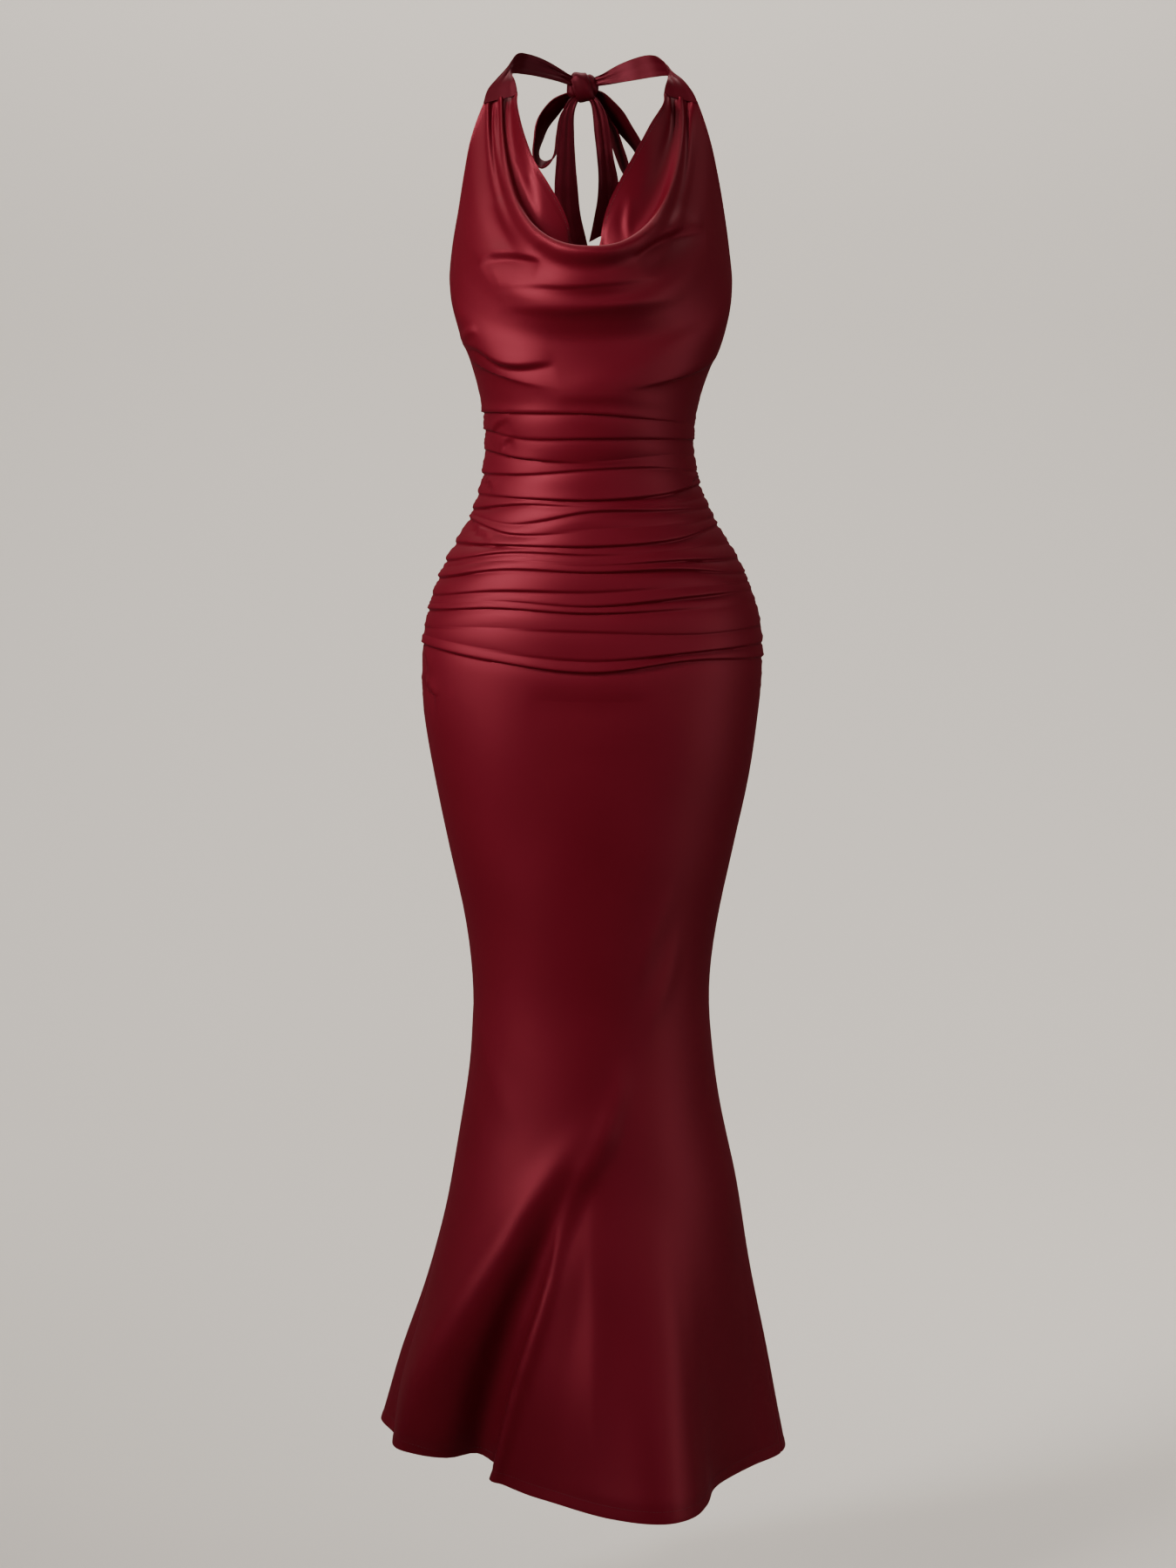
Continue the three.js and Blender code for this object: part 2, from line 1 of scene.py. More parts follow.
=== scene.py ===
"""Halter mermaid gown of burgundy stretch satin, filled out, in a plain studio.

Sizes in the tables are millimetres; meshes are made in metres. Seen from the front, +X is to the
right, -Y is the front and +Z is up. The origin is the nape, where the knot holds the gown up.
"""

from __future__ import annotations

import logging
import math
from collections.abc import Sequence
from dataclasses import dataclass, field
from enum import Enum

import bpy
import numpy as np
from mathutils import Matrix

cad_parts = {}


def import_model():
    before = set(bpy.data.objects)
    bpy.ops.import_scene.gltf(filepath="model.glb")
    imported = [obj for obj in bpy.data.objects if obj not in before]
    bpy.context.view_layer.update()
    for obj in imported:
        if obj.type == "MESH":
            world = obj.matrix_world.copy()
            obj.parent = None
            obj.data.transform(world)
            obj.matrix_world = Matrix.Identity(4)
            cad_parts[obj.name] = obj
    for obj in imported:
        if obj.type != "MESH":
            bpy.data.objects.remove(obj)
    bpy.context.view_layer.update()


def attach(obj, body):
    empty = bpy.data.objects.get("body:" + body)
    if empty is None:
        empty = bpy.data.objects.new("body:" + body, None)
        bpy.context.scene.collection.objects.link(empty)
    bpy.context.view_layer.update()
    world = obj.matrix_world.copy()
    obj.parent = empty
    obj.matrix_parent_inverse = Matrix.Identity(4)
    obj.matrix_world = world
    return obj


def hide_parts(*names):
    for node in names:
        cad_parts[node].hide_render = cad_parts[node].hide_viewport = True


LOG = logging.getLogger("gown")

Colour = tuple[float, float, float]
Point = tuple[float, float, float]
Line = tuple[np.ndarray, np.ndarray]

MM = 0.001
SIDE_PLANE = -85.0        # y of both side seams
SHOULDER_PLANE = -74.0    # y of the gathered seams under the neck ties
SEAM_TOP = -21.0          # height of the gathered seams
SEAM_SLANT = 8.0          # how much higher those seams are at the neck edge
SEAM_INNER = 73.0         # where the neck edge meets a tie
SEAM_OUTER = 106.0        # where the arm edge meets a tie
UNDERARM = -264.0         # top of the side seams
NECK_PULL = 0.46          # share of the seam over which the neck edge pulls the cloth
BACK_DIP = 71.0           # how far the back edge scoops below the underarms
HEM = -1402.0             # hem at the right side seam
FLARE_TOP = -1090.0       # where the skirt starts to flute
FLARE_EASE = 1.38         # how slowly the flutes open
HEM_SIDE = 213.0          # radii of the unfluted hem
HEM_DEPTH = 205.0
STATIONS = (-1.0, -0.6, 0.0, 0.6, 1.0)
CLOTH = 0.0007            # thickness of the shell, in metres
CUT_MAP = "cut"           # name of the UV map in metres that every cloth piece carries
SOFT_EDGE = 60.0          # angle past which an edge of cloth stays sharp, in degrees
ROUND_EDGE = 80.0         # the same for a stitch and for the paper
RIDGE = 0.40              # seam share of the row where the draped neck turns over
SEAM_BELOW = 200.0        # how far under the gathered seam its share grows by 1
BELOW_SEAM = 2.0          # seam value of the rows under the arm edges
RUFFLE_TOP = -300.0       # height below which the ruching ruffles the side seams
RUFFLE_END = -640.0       # height at which the ruffles are gone
RUFFLE_RISE = 40.0        # distance over which they grow under their top
RUFFLE_FALL = 60.0        # distance over which they die away above their end
FOLD_POINTS = 25          # points of a fold's smoothed path
BAND_WIDTH = 0.025        # width of every tie, loop and tail laid flat, in metres
BAND_STEPS = 8            # fine rows of a band for each row of its table
SLANT_STEPS = 14          # fine rows over which a tail's end turns slanting

# Pinched crease of the ruching, at depth 1
CREASE_LIP = 1.35         # how far its crest stands proud
CREASE_DIP = 1.75         # how far the cloth under the crest sinks
CREASE_ROLL = 5.5         # how far above the crest it fades
CREASE_FALL = 2.3         # how far below the crest it is deepest
CREASE_EASE = 6.5         # how slowly it comes back below
CREASE_POWER = 1.6        # how suddenly the roll above the crest starts

OUTLINE = (
    ("height", "left", "right", "front", "back"),
    (-21, 106, 106, 90, 60),
    (-45, 116, 115, 104, 70),
    (-75, 123, 123, 116, 80),
    (-105, 129, 129, 122, 86),
    (-145, 135, 136, 126, 90),
    (-180, 140, 140, 128, 92),
    (-205, 140, 141, 130, 93),
    (-230, 135, 137, 128, 92),
    (-264, 126, 128, 122, 90),
    (-307, 113, 112, 108, 86),
    (-350, 106, 103, 102, 84),
    (-394, 109, 108, 94, 92),
    (-438, 124, 127, 98, 106),
    (-482, 148, 152, 103, 118),
    (-525, 164, 168, 107, 125),
    (-570, 171, 174, 110, 127),
    (-614, 170, 172, 110, 125),
    (-680, 162, 163, 109, 119),
    (-747, 148, 150, 107, 112),
    (-837, 129, 130, 105, 105),
    (-927, 120, 121, 105, 105),
    (-1018, 128, 131, 112, 112),
    (-1109, 143, 149, 126, 128),
    (-1201, 163, 167, 148, 150),
    (-1293, 189, 187, 174, 176),
    (-1402, 213, 213, 205, 205),
)

# Draped neck: share of the gathered seam, height at the arm edge, height and reach in the middle,
# roundness of the hang and lift of the gather at the seam
SWAGS = (
    ("seam", "side", "middle", "reach", "round", "gather"),
    (0.00, -21, -187, 78, 1.15, 0.0),
    (0.12, -21, -199, 88, 1.35, -3.5),
    (0.25, -21, -206, 99, 1.6, -8.0),
    (0.36, -21, -190, 110, 2.0, -3.0),
    (0.46, -21, -174, 117, 2.3, 3.0),
    (0.54, -21, -170, 122, 2.4, 2.4),
    (0.63, -21, -177, 126, 2.4, -0.6),
    (0.74, -21, -190, 120, 2.4, -1.8),
    (0.87, -21, -200, 119, 2.5, 1.4),
    (1.00, -21, -208, 118.5, 2.6, -0.4),
    (1.00, -56, -217, 116, 2.6, 0.0),
    (1.00, -92, -228, 115, 2.6, 0.0),
    (1.00, -130, -243, 107, 2.6, 0.0),
    (1.00, -166, -258, 102, 2.5, 0.0),
    (1.00, -200, -273, 102.5, 2.4, 0.0),
    (1.00, -233, -289, 104.5, 2.3, 0.0),
    (1.00, -264, -304, 106.5, 2.2, 0.0),
)

# Neck edge seen from the front: half widths of the opening left and right of the middle
NECK_EDGE = (
    ("height", "left", "right"),
    (-13, 73, 73), (-25, 73, 72), (-45, 69, 60), (-65, 63, 49.5), (-85, 55, 38.5),
    (-105, 42.5, 27.5), (-125, 31, 18), (-145, 22.5, 12), (-165, 18, 9), (-187, 0, 0),
)

# Creases of the ruching, from the waist down: heights and depths at the five stations across
# the front, and the height at the middle of the back
PLEATS = (
    ((-328, -329, -330, -335, -339), (0.9, 0.9, 0.9, 0.4, 0.2), -362),
    ((-345, -354, -354, -354, -355), (0.9, 0.6, 0.8, 0.8, 0.6), -377),
    ((-365, -374, -377, -372, -369), (1.0, 1.1, 0.1, 0.0, 0.2), -391),
    ((-389, -389, -384, -382, -386), (0.9, 0.9, 0.6, 0.5, 0.4), -406),
    ((-409, -412, -414, -409, -399), (0.8, 0.8, 1.1, 1.0, 0.9), -421),
    ((-424, -418, -420, -418, -411), (1.0, 0.9, 0.2, 0.0, 0.3), -430),
    ((-428, -437, -425, -424, -422), (0.2, 0.5, 1.0, 0.9, 0.4), -439),
    ((-433, -447, -443, -439, -431), (1.0, 0.7, 0.0, 0.0, 0.5), -450),
    ((-458, -458, -459, -453, -439), (0.9, 1.1, 1.1, 0.9, 0.7), -464),
    ((-476, -465, -467, -464, -457), (0.9, 0.9, 0.4, 0.0, 0.2), -474),
    ((-484, -474, -477, -473, -473), (0.1, 0.0, 0.3, 0.9, 0.6), -484),
    ((-493, -482, -484, -482, -488), (0.9, 1.0, 1.0, 1.0, 0.5), -495),
    ((-510, -503, -503, -498, -496), (0.6, 0.8, 0.6, 0.2, 0.3), -509),
    ((-518, -512, -517, -509, -504), (0.2, 0.2, 0.9, 1.0, 0.3), -519),
    ((-525, -520, -524, -520, -517), (0.9, 1.1, 1.0, 0.3, 0.1), -528),
    ((-542, -540, -542, -545, -541), (0.4, 0.0, 0.6, 0.4, 0.4), -544),
    ((-551, -561, -570, -563, -558), (0.0, 0.1, 0.7, 0.9, 0.8), -563),
    ((-559, -571, -582, -571, -573), (0.9, 1.1, 1.3, 1.0, 0.5), -577),
)
BELLY_ROWS = (
    ((-286, -304, -313, -304, -287), -343),
    ((-307, -316, -321, -318, -312), -352),
)
SKIRT_ROWS = (-612, -660, -712, -768, -828, -884, -930, -978, -1026, -1070, -1106, -1140, -1174,
              -1208, -1242, -1276, -1310, -1344, -1370, -1386, HEM)

# Flutes of the hem: bearing from the front, positive to the right, radius and height
FLUTES = (
    ("bearing", "radius", "height"),
    (-180, 168, -1396), (-158, 214, -1398), (-138, 168, -1393), (-121, 190, -1387),
    (-105, 233, -1381), (-90, 208, -1384), (-80, 207, -1385), (-73, 186, -1387), (-68, 160, -1389),
    (-63, 132, -1391), (-57, 116, -1392), (-50, 118, -1394), (-44, 147, -1397), (-36, 148, -1399),
    (-24, 154, -1402), (-9, 168, -1405), (6, 200, -1408), (18, 222, -1409), (27, 215, -1409),
    (35, 195, -1408), (46, 168, -1406), (60, 160, -1406), (76, 172, -1405), (90, 199, -1404),
    (102, 206, -1402), (122, 182, -1399), (140, 213, -1397), (160, 189, -1396), (180, 168, -1396),
)

# How far the flutes left of the middle are gathered towards it, from knee to hem
FAN = (
    ("height", "fan"),
    (-930, 1), (-1040, 2.2), (-1098, 3.6), (-1156, 3.85), (-1210, 2.8), (-1255, 2.15),
    (-1309, 1.58), (-1376, 1.18), (HEM, 1),
)

TIE_NAMES = ("ax", "ay", "az", "bx", "by", "bz")
# Neck ties from the gathered seam over the shoulder to the knot: outer and inner edge
TIE_LEFT = (
    TIE_NAMES,
    (-107, -76, -23.5, -72.5, -77, -15.5), (-103, -72.5, -10, -74, -74.5, -6),
    (-93.5, -66, 2, -76, -70, 1), (-82, -56, 16, -79, -62, 5), (-74, -44, 28.5, -79, -50, 8.5),
    (-64, -28, 30, -69, -34, 9.5), (-47, -14, 25.5, -51, -18, 8.5), (-33, -2, 18.5, -34, -5, 6),
    (-20, 4, 12.5, -20, 3, 3), (-12, 8, 9.5, -12, 7, 2),
)
TIE_RIGHT = (
    TIE_NAMES,
    (107, -76, -23.5, 72.5, -77, -15.5), (101.5, -72.5, -12, 74, -74.5, -7),
    (92.5, -66, -1, 76, -70, -1), (81, -56, 9.5, 78, -62, 3.5), (72, -44, 22, 79, -50, 6.5),
    (61, -28, 29, 67, -34, 7), (44, -14, 27, 48, -18, 5.5), (27, -3, 21, 29, -6, 3.5),
    (13, 4, 14.5, 13, 3, 2), (4, 8, 11, 4, 7, 1),
)

# Bow behind the nape: middle line of each band, its half width, how far that is turned to the
# back and how far it is tipped up, in degrees
BOW_NAMES = ("x", "y", "z", "half", "turn", "tip")
LOOP_LEFT = (
    BOW_NAMES,
    (-12, 12, -2, 4, 50, 0), (-21, 14, -5, 7, 38, 0), (-31, 16, -12, 10, 32, 0),
    (-41, 17, -24, 11.5, 38, 0), (-49.5, 18, -38, 12, 58, 0), (-54, 18, -51, 12, 69, 2),
    (-56.2, 18, -63, 12, 76, 8), (-54.8, 18, -72, 12, 80, 16), (-49.5, 18, -76.6, 12, 84, 21),
    (-43.2, 18, -74.4, 12, 86, 16), (-38.2, 18, -68, 12, 86, 8), (-35.3, 18, -59, 12, 85, 2),
    (-33.5, 18, -47, 11.5, 84, 0), (-31.5, 17, -35, 10.5, 84, 0), (-27, 16, -24, 8, 84, 0),
    (-19, 14.5, -15, 5, 84, 0), (-10, 12, -9, 3.5, 84, 0),
)
LOOP_RIGHT = (
    BOW_NAMES,
    (0, 12, -2, 4, 128, 0), (8, 14, -5, 7, 138, 0), (16, 16, -13, 10, 142, 0),
    (24, 17, -23, 11.5, 140, 0), (32, 18, -36, 12, 138, 0), (41, 18, -49, 12, 128, 0),
    (49, 18, -60, 12, 116, 2), (54.5, 18, -71, 12, 108, 6), (55.5, 18, -82, 12, 102, 12),
    (50, 18, -91, 12, 98, 18), (43, 18, -92, 12, 100, 14), (37.5, 18, -85, 12, 108, 6),
    (33, 18, -74, 12, 114, 2), (28.5, 18, -61, 11.5, 116, 0), (23.5, 17, -46, 10.5, 114, 0),
    (17, 16, -31, 8, 110, 0), (9, 14.5, -19, 5, 106, 0), (-1, 12, -10, 3.5, 100, 0),
)
TAIL_LEFT = (
    BOW_NAMES,
    (-10, 9, -7, 5, 4, 0), (-18, 5, -14, 5.5, 8, 0), (-23.5, 3, -28, 7, 14, 0),
    (-24.8, 3, -50, 8.5, 14, 0), (-25.2, 3, -76, 10, 12, 0), (-25, 2, -102, 12, 6, 0),
    (-22.5, 2, -131, 12.5, 4, 0), (-15.6, 2, -165, 12.5, 4, 0),
)
TAIL_RIGHT = (
    BOW_NAMES,
    (-1, 9, -7, 5, -4, 0), (5, 5, -16, 5, -6, 0), (9, 3, -28, 7, -10, 0),
    (11.8, 3, -46, 8.2, -12, 0), (15, 3, -70, 8.4, -12, 0), (17.8, 3, -92, 10, -8, 0),
    (18.5, 2, -114, 12, -6, 0), (15, 2, -133, 12.2, -4, 0), (10.4, 2, -150, 12.2, -4, 0),
)
TAIL_SLANT = 12.0         # how much lower the cut end of a tail is at its left corner


class Shape(Enum):
    """Cross-section of a fold laid on a panel."""

    LIP = "lip"        # pinched crest with a dark drop under it
    ROUND = "round"    # soft ridge, or a trough where its lift is below 0


class Layer(Enum):
    """Which part of the draped front a fold lies on."""

    OUTER = "outer"    # from the turned-over ridge down
    INNER = "inner"    # inside the neck, above the ridge


@dataclass
class Table:
    """Rows of numbers under named columns."""

    names: tuple[str, ...]
    rows: np.ndarray

    @classmethod
    def of(cls, lines: Sequence[Sequence[float | str]]) -> Table:
        """Makes a table from a line of names and lines of numbers.

        Args:
            lines: The names, then one line for each row.

        Returns:
            The table.
        """
        return cls(tuple(str(name) for name in lines[0]), np.array(lines[1:], dtype=float))

    def column(self, name: str) -> np.ndarray:
        """Returns the numbers under a name."""
        return self.rows[:, self.names.index(name)]

    def line(self, number: int) -> dict[str, float]:
        """Returns one row by its columns' names."""
        return dict(zip(self.names, self.rows[number], strict=True))

    def along(self, key: str, name: str, at: np.ndarray) -> np.ndarray:
        """Reads a column as a smooth curve over another column.

        Args:
            key: Column that the curve runs over.
            name: Column to read.
            at: Places on the key column.

        Returns:
            The curve's values there.
        """
        return smooth_curve(self.column(key), self.column(name), at)

    def smoothed(self, between: int) -> Table:
        """Table with extra rows on smooth curves between its own.

        Args:
            between: Number of steps from each row to the next.

        Returns:
            The longer table.
        """
        last = len(self.rows) - 1
        at = np.arange(last * between + 1) / between
        return Table(self.names, smooth_curve(np.arange(last + 1), self.rows, at))


def smooth_curve(keys: Sequence[float], values: Sequence[float], at: np.ndarray) -> np.ndarray:
    """Cubic curve through points, with slopes from each point's neighbours.

    Args:
        keys: Places of the points, rising or falling.
        values: Values at the points, one row each.
        at: Places to read.

    Returns:
        Values there, held at the ends outside the points.
    """
    keys = np.asarray(keys, dtype=float)
    values = np.asarray(values, dtype=float)
    at = np.asarray(at, dtype=float)
    if keys[0] > keys[-1]:
        keys, at = -keys, -at
    last = len(keys) - 1
    before = np.maximum(np.arange(last + 1) - 1, 0)
    after = np.minimum(np.arange(last + 1) + 1, last)
    wide = (1,) * (values.ndim - 1)
    slopes = (values[after] - values[before]) / (keys[after] - keys[before]).reshape(-1, *wide)
    i = np.clip(np.searchsorted(keys, at, side="right") - 1, 0, last - 1)
    span = keys[i + 1] - keys[i]
    t = np.clip((at - keys[i]) / span, 0.0, 1.0)
    t = t.reshape(t.shape + wide)
    span = span.reshape(span.shape + wide)
    p0, p1 = values[i], values[i + 1]
    m0, m1 = slopes[i] * span, slopes[i + 1] * span
    rise = 3 * (p1 - p0) - 2 * m0 - m1
    return p0 + t * m0 + t**2 * rise + t**3 * (2 * (p0 - p1) + m0 + m1)


def ease(share: np.ndarray) -> np.ndarray:
    """Smooth step from 0 to 1 as a share goes from 0 to 1."""
    t = np.clip(share, 0.0, 1.0)
    return t * t * (3 - 2 * t)


def bell(away: np.ndarray, width: float) -> np.ndarray:
    """Rounded hump of height 1 at 0, by distance and width."""
    return np.exp(-((away / width) ** 2))


def hang(share: np.ndarray, roundness: float) -> np.ndarray:
    """Share of its full drop that hanging cloth has, by the share of its half width."""
    return np.maximum(1 - share**roundness, 0.0) ** (1 / roundness)


def run_along(points: np.ndarray, axis: int = 0) -> np.ndarray:
    """Distance of each point from the first, measured from point to point along an axis.

    Args:
        points: Points, with x, y and z on the last axis.
        axis: Axis to measure along.

    Returns:
        The distances, from 0.
    """
    steps = np.linalg.norm(np.diff(points, axis=axis), axis=-1)
    start = np.zeros_like(np.take(steps, [0], axis=axis))
    return np.concatenate([start, np.cumsum(steps, axis=axis)], axis=axis)


def grid_normals(grid: np.ndarray) -> np.ndarray:
    """Unit normals of a grid of points whose rows run left to right and go down.

    Args:
        grid: Points, shaped rows by columns by 3.

    Returns:
        Outward normals of the same shape.
    """
    normal = np.cross(np.gradient(grid, axis=0), np.gradient(grid, axis=1))
    return normal / np.maximum(np.linalg.norm(normal, axis=2, keepdims=True), 1e-9)


def pinched(above: np.ndarray) -> np.ndarray:
    """Cross-section of a pinched crease of depth 1.

    Args:
        above: Distance above the crest, negative below it.

    Returns:
        Height of the cloth there.
    """
    up = np.maximum(above, 0.0)
    down = np.maximum(-above, 0.0)
    fall = ease(down / CREASE_FALL)
    lip = CREASE_LIP * np.exp(-((up / CREASE_ROLL) ** CREASE_POWER)) * (1 - fall)
    return lip - CREASE_DIP * fall * np.exp(-np.maximum(down - CREASE_FALL, 0.0) / CREASE_EASE)


@dataclass(frozen=True)
class Ripple:
    """A sine wave: its height, its rate over each measure and its phase at 0."""

    height: float
    rates: tuple[float, ...]
    phase: float = 0.0

    def over(self, *measures: np.ndarray | float) -> np.ndarray:
        """Returns the wave's height over measures, one for each rate."""
        angle = sum(rate * at for rate, at in zip(self.rates, measures, strict=True))
        return self.height * np.sin(angle + self.phase)


def ripple_sum(ripples: Sequence[Ripple], *measures: np.ndarray | float) -> np.ndarray:
    """Returns the sum of several ripples over the same measures."""
    return sum(ripple.over(*measures) for ripple in ripples)


@dataclass(frozen=True)
class Ruffle:
    """Small ruffles down a seam: a wave whose pitch sways."""

    rate: float
    phase: float
    sway: float
    sway_rate: float

    def at(self, height: np.ndarray) -> np.ndarray:
        """Returns the wave, between -1 and 1, at a height."""
        return np.sin(self.rate * height + self.phase + self.sway * np.sin(self.sway_rate * height))


@dataclass(frozen=True)
class TurnedEdge:
    """A turned and stitched edge: a soft swell, and a dent along its stitches."""

    width: float
    dent: float
    dent_width: float
    swell_place: float
    swell: float
    swell_width: float

    def heights(self, away: np.ndarray) -> np.ndarray:
        """Returns the lift at a distance from the edge."""
        swell = self.swell * bell(away - self.swell_place, self.swell_width)
        return swell - self.dent * bell(away - self.width, self.dent_width)


TURNED_EDGE = TurnedEdge(5.0, 0.50, 1.2, 2.0, 0.30, 2.0)
TURNED_HEM = TurnedEdge(12.0, 0.40, 2.5, 4.0, 0.35, 5.0)


@dataclass
class GownForm:
    """The filled-out shape that the panels are cut to."""

    outline: Table = field(default_factory=lambda: Table.of(OUTLINE))
    flutes: Table = field(default_factory=lambda: Table.of(FLUTES))
    fan: Table = field(default_factory=lambda: Table.of(FAN))

    def opened(self, height: np.ndarray) -> np.ndarray:
        """Returns the share of the flutes that has opened at a height."""
        share = np.clip((FLARE_TOP - height) / (FLARE_TOP - HEM), 0.0, 1.0)
        return share**FLARE_EASE

    def flute_bearing(self, bearing: np.ndarray, height: np.ndarray) -> np.ndarray:
        """Bearing on the hem of the flute that passes a bearing further up.

        Args:
            bearing: Degrees from the front, positive to the right.
            height: Heights, of the same shape.

        Returns:
            Bearings on the hem.
        """
        share = np.clip(1 + bearing / 90, 0.0, 1.0)
        fanned = -90 * (1 - share ** self.fan.along("height", "fan", height))
        inside = (bearing < 0) & (bearing > -90)
        return np.where(inside, fanned, bearing)

    def tube_points(self, bearing: np.ndarray, height: np.ndarray) -> np.ndarray:
        """Points of the tube at bearings in degrees and at heights.

        Args:
            bearing: Degrees from the front, positive to the right.
            height: Heights, of the same shape.

        Returns:
            Points, with the shape of the bearings and a last axis of 3.
        """
        angle = np.radians(bearing)
        side = np.where(bearing < 0, self.outline.along("height", "left", height),
                        self.outline.along("height", "right", height))
        depth = np.where(np.abs(bearing) <= 90, self.outline.along("height", "front", height),
                         self.outline.along("height", "back", height))
        plain = np.hypot(HEM_SIDE * np.sin(angle), HEM_DEPTH * np.cos(angle))
        radius = self.flutes.along("bearing", "radius", self.flute_bearing(bearing, height))
        grow = 1 + self.opened(height) * (radius / plain - 1)
        x = side * np.sin(angle) * grow
        y = SIDE_PLANE - depth * np.cos(angle) * grow
        return np.stack([x, y, height], axis=-1)

    def skirt_height(self, height: np.ndarray, bearing: np.ndarray) -> np.ndarray:
        """Returns heights eased towards the uneven hem."""
        hem = self.flutes.along("bearing", "height", self.flute_bearing(bearing, height))
        return height + self.opened(height) * (hem - HEM)


@dataclass(frozen=True)
class Fold:
    """A fold laid on a panel.

    path holds x and height of its points in the front view, lift its height above the cloth,
    and width the distance over which it fades.
    """

    path: tuple[tuple[float, float], ...]
    lift: float
    width: float = 6.0
    shape: Shape = Shape.ROUND
    layer: Layer = Layer.OUTER
    size: float = 1.0
    blunt: float = 0.6

    def heights(self, x: np.ndarray, z: np.ndarray) -> np.ndarray:
        """Height that this fold adds at each point.

        Args:
            x: Sideways places of the points.
            z: Their heights.

        Returns:
            Lift at each point.
        """
        points = np.array(self.path, dtype=float)
        dense = smooth_curve(np.arange(len(points)), points,
                             np.linspace(0, len(points) - 1, FOLD_POINTS))
        reach = run_along(dense)
        best = np.full(x.shape, np.inf)
        where = np.zeros(x.shape)
        above = np.zeros(x.shape)
        for i, step in enumerate(np.diff(reach)):
            (ax, az), (bx, bz) = dense[i], dense[i + 1]
            t = np.clip(((x - ax) * (bx - ax) + (z - az) * (bz - az)) / (step * step), 0.0, 1.0)
            dx, dz = x - ax - t * (bx - ax), z - az - t * (bz - az)
            gap = np.hypot(dx, dz)
            closer = gap < best
            best = np.where(closer, gap, best)
            where = np.where(closer, (reach[i] + t * step) / reach[-1], where)
            above = np.where(closer, np.sign(dz) * gap, above)
        taper = np.maximum(np.sin(np.pi * where), 0.0) ** self.blunt
        if self.shape is Shape.LIP:
            ends = bell(np.where((where <= 0) | (where >= 1), best, 0.0), self.width)
            return self.lift * taper * ends * pinched(above / self.size)
        return self.lift * taper * bell(best, self.width)


# Folds of the bust, the belly and the skirt, read from the front
FRONT_FOLDS = (
    Fold(((-110, -184), (-97, -176), (-75, -176), (-50, -181)), 2.0, 7, Shape.LIP, size=1.9),
    Fold(((-92, -120), (-80, -140), (-66, -160), (-54, -175)), 2.6, 9),
    Fold(((112, -147), (84, -152), (62, -162), (40, -177)), 2.0, 8, Shape.LIP, size=2.2),
    Fold(((95, -132), (78, -146), (58, -156)), 1.6, 8),
    Fold(((-96, -205), (-50, -206), (-12, -207), (66, -199)), 0.45, 9, Shape.LIP, size=2.2),
    Fold(((-66, -186), (-8, -192), (70, -184)), -0.9, 8, blunt=0.4),
    Fold(((-88, -227), (-12, -230), (90, -218)), 1.0, 5),
    Fold(((-128, -259), (-122, -252), (-113, -247)), 2.0, 4),
    Fold(((-128, -260), (-110, -267), (-92, -279), (-70, -283), (-38, -279)), 2.0, 9, Shape.LIP,
         size=2.6),
    Fold(((-34, -310), (30, -294), (70, -272), (104, -248)), 1.3, 12),
    Fold(((-60, -322), (0, -316), (50, -318), (96, -330)), 0.6, 7),
    Fold(((-97, -348), (-90, -339), (-80, -335)), 1.0, 5, Shape.LIP),
    Fold(((-88, -365), (-84, -357), (-76, -354)), 1.0, 5, Shape.LIP),
    Fold(((-106, -395), (-101, -398), (-95, -404)), 1.2, 4, Shape.LIP),
    Fold(((98, -398), (103, -394), (108, -390)), 1.2, 4, Shape.LIP),
    Fold(((-120, -436), (-108, -447), (-98, -451)), 1.2, 4, Shape.LIP),
    Fold(((-166, -597), (-161, -604), (-154, -611)), 1.6, 4, Shape.LIP),
    Fold(((-167, -560), (-165, -575), (-160, -586)), 1.0, 4, Shape.LIP),
    Fold(((-60, -612), (0, -620), (60, -616)), -1.4, 13),
    Fold(((-50, -632), (10, -638), (60, -634)), 1.0, 11),
    Fold(((83, -806), (62, -846), (48, -888)), 1.6, 8),
    Fold(((90, -846), (76, -896), (56, -938)), 1.8, 7),
    Fold(((-118, -930), (-100, -990), (-74, -1040)), 1.2, 10),
    Fold(((36, -980), (11, -1054), (-15, -1098), (-36, -1156), (-50, -1210), (-63, -1255),
          (-80, -1309), (-96, -1376), (-112, -1450)), 6.0, 9, blunt=0.4),
    Fold(((-8, -1085), (-26, -1120), (-46, -1160), (-72, -1219), (-90, -1273), (-106, -1331),
          (-120, -1396), (-134, -1460)), -13.0, 19, blunt=0.45),
    Fold(((20, -1029), (-19, -1065), (-59, -1115), (-95, -1169), (-117, -1201), (-141, -1240),
          (-172, -1300), (-200, -1350), (-220, -1400)), 6.0, 17, blunt=0.4),
    Fold(((20, -1130), (8, -1220), (-6, -1300), (-20, -1390), (-28, -1460)), 1.6, 16),
    Fold(((60, -1120), (72, -1220), (84, -1320), (92, -1440)), 2.0, 18),
    Fold(((-70, -142), (-64, -156), (-50, -172)), -1.2, 5, layer=Layer.INNER),
    Fold(((-74, -78), (-69, -87), (-64, -96)), 0.8, 2.4, layer=Layer.INNER),
    Fold(((-70, -84), (-65, -93), (-60, -100)), -0.8, 2.2, layer=Layer.INNER),
    Fold(((-66, -92), (-61, -100), (-57, -108)), 0.8, 2.4, layer=Layer.INNER),
    Fold(((40, -120), (36, -142), (38, -160), (44, -166)), 1.8, 4.5, layer=Layer.INNER),
    Fold(((34, -128), (30, -146), (31, -160)), -1.2, 4, layer=Layer.INNER),
)

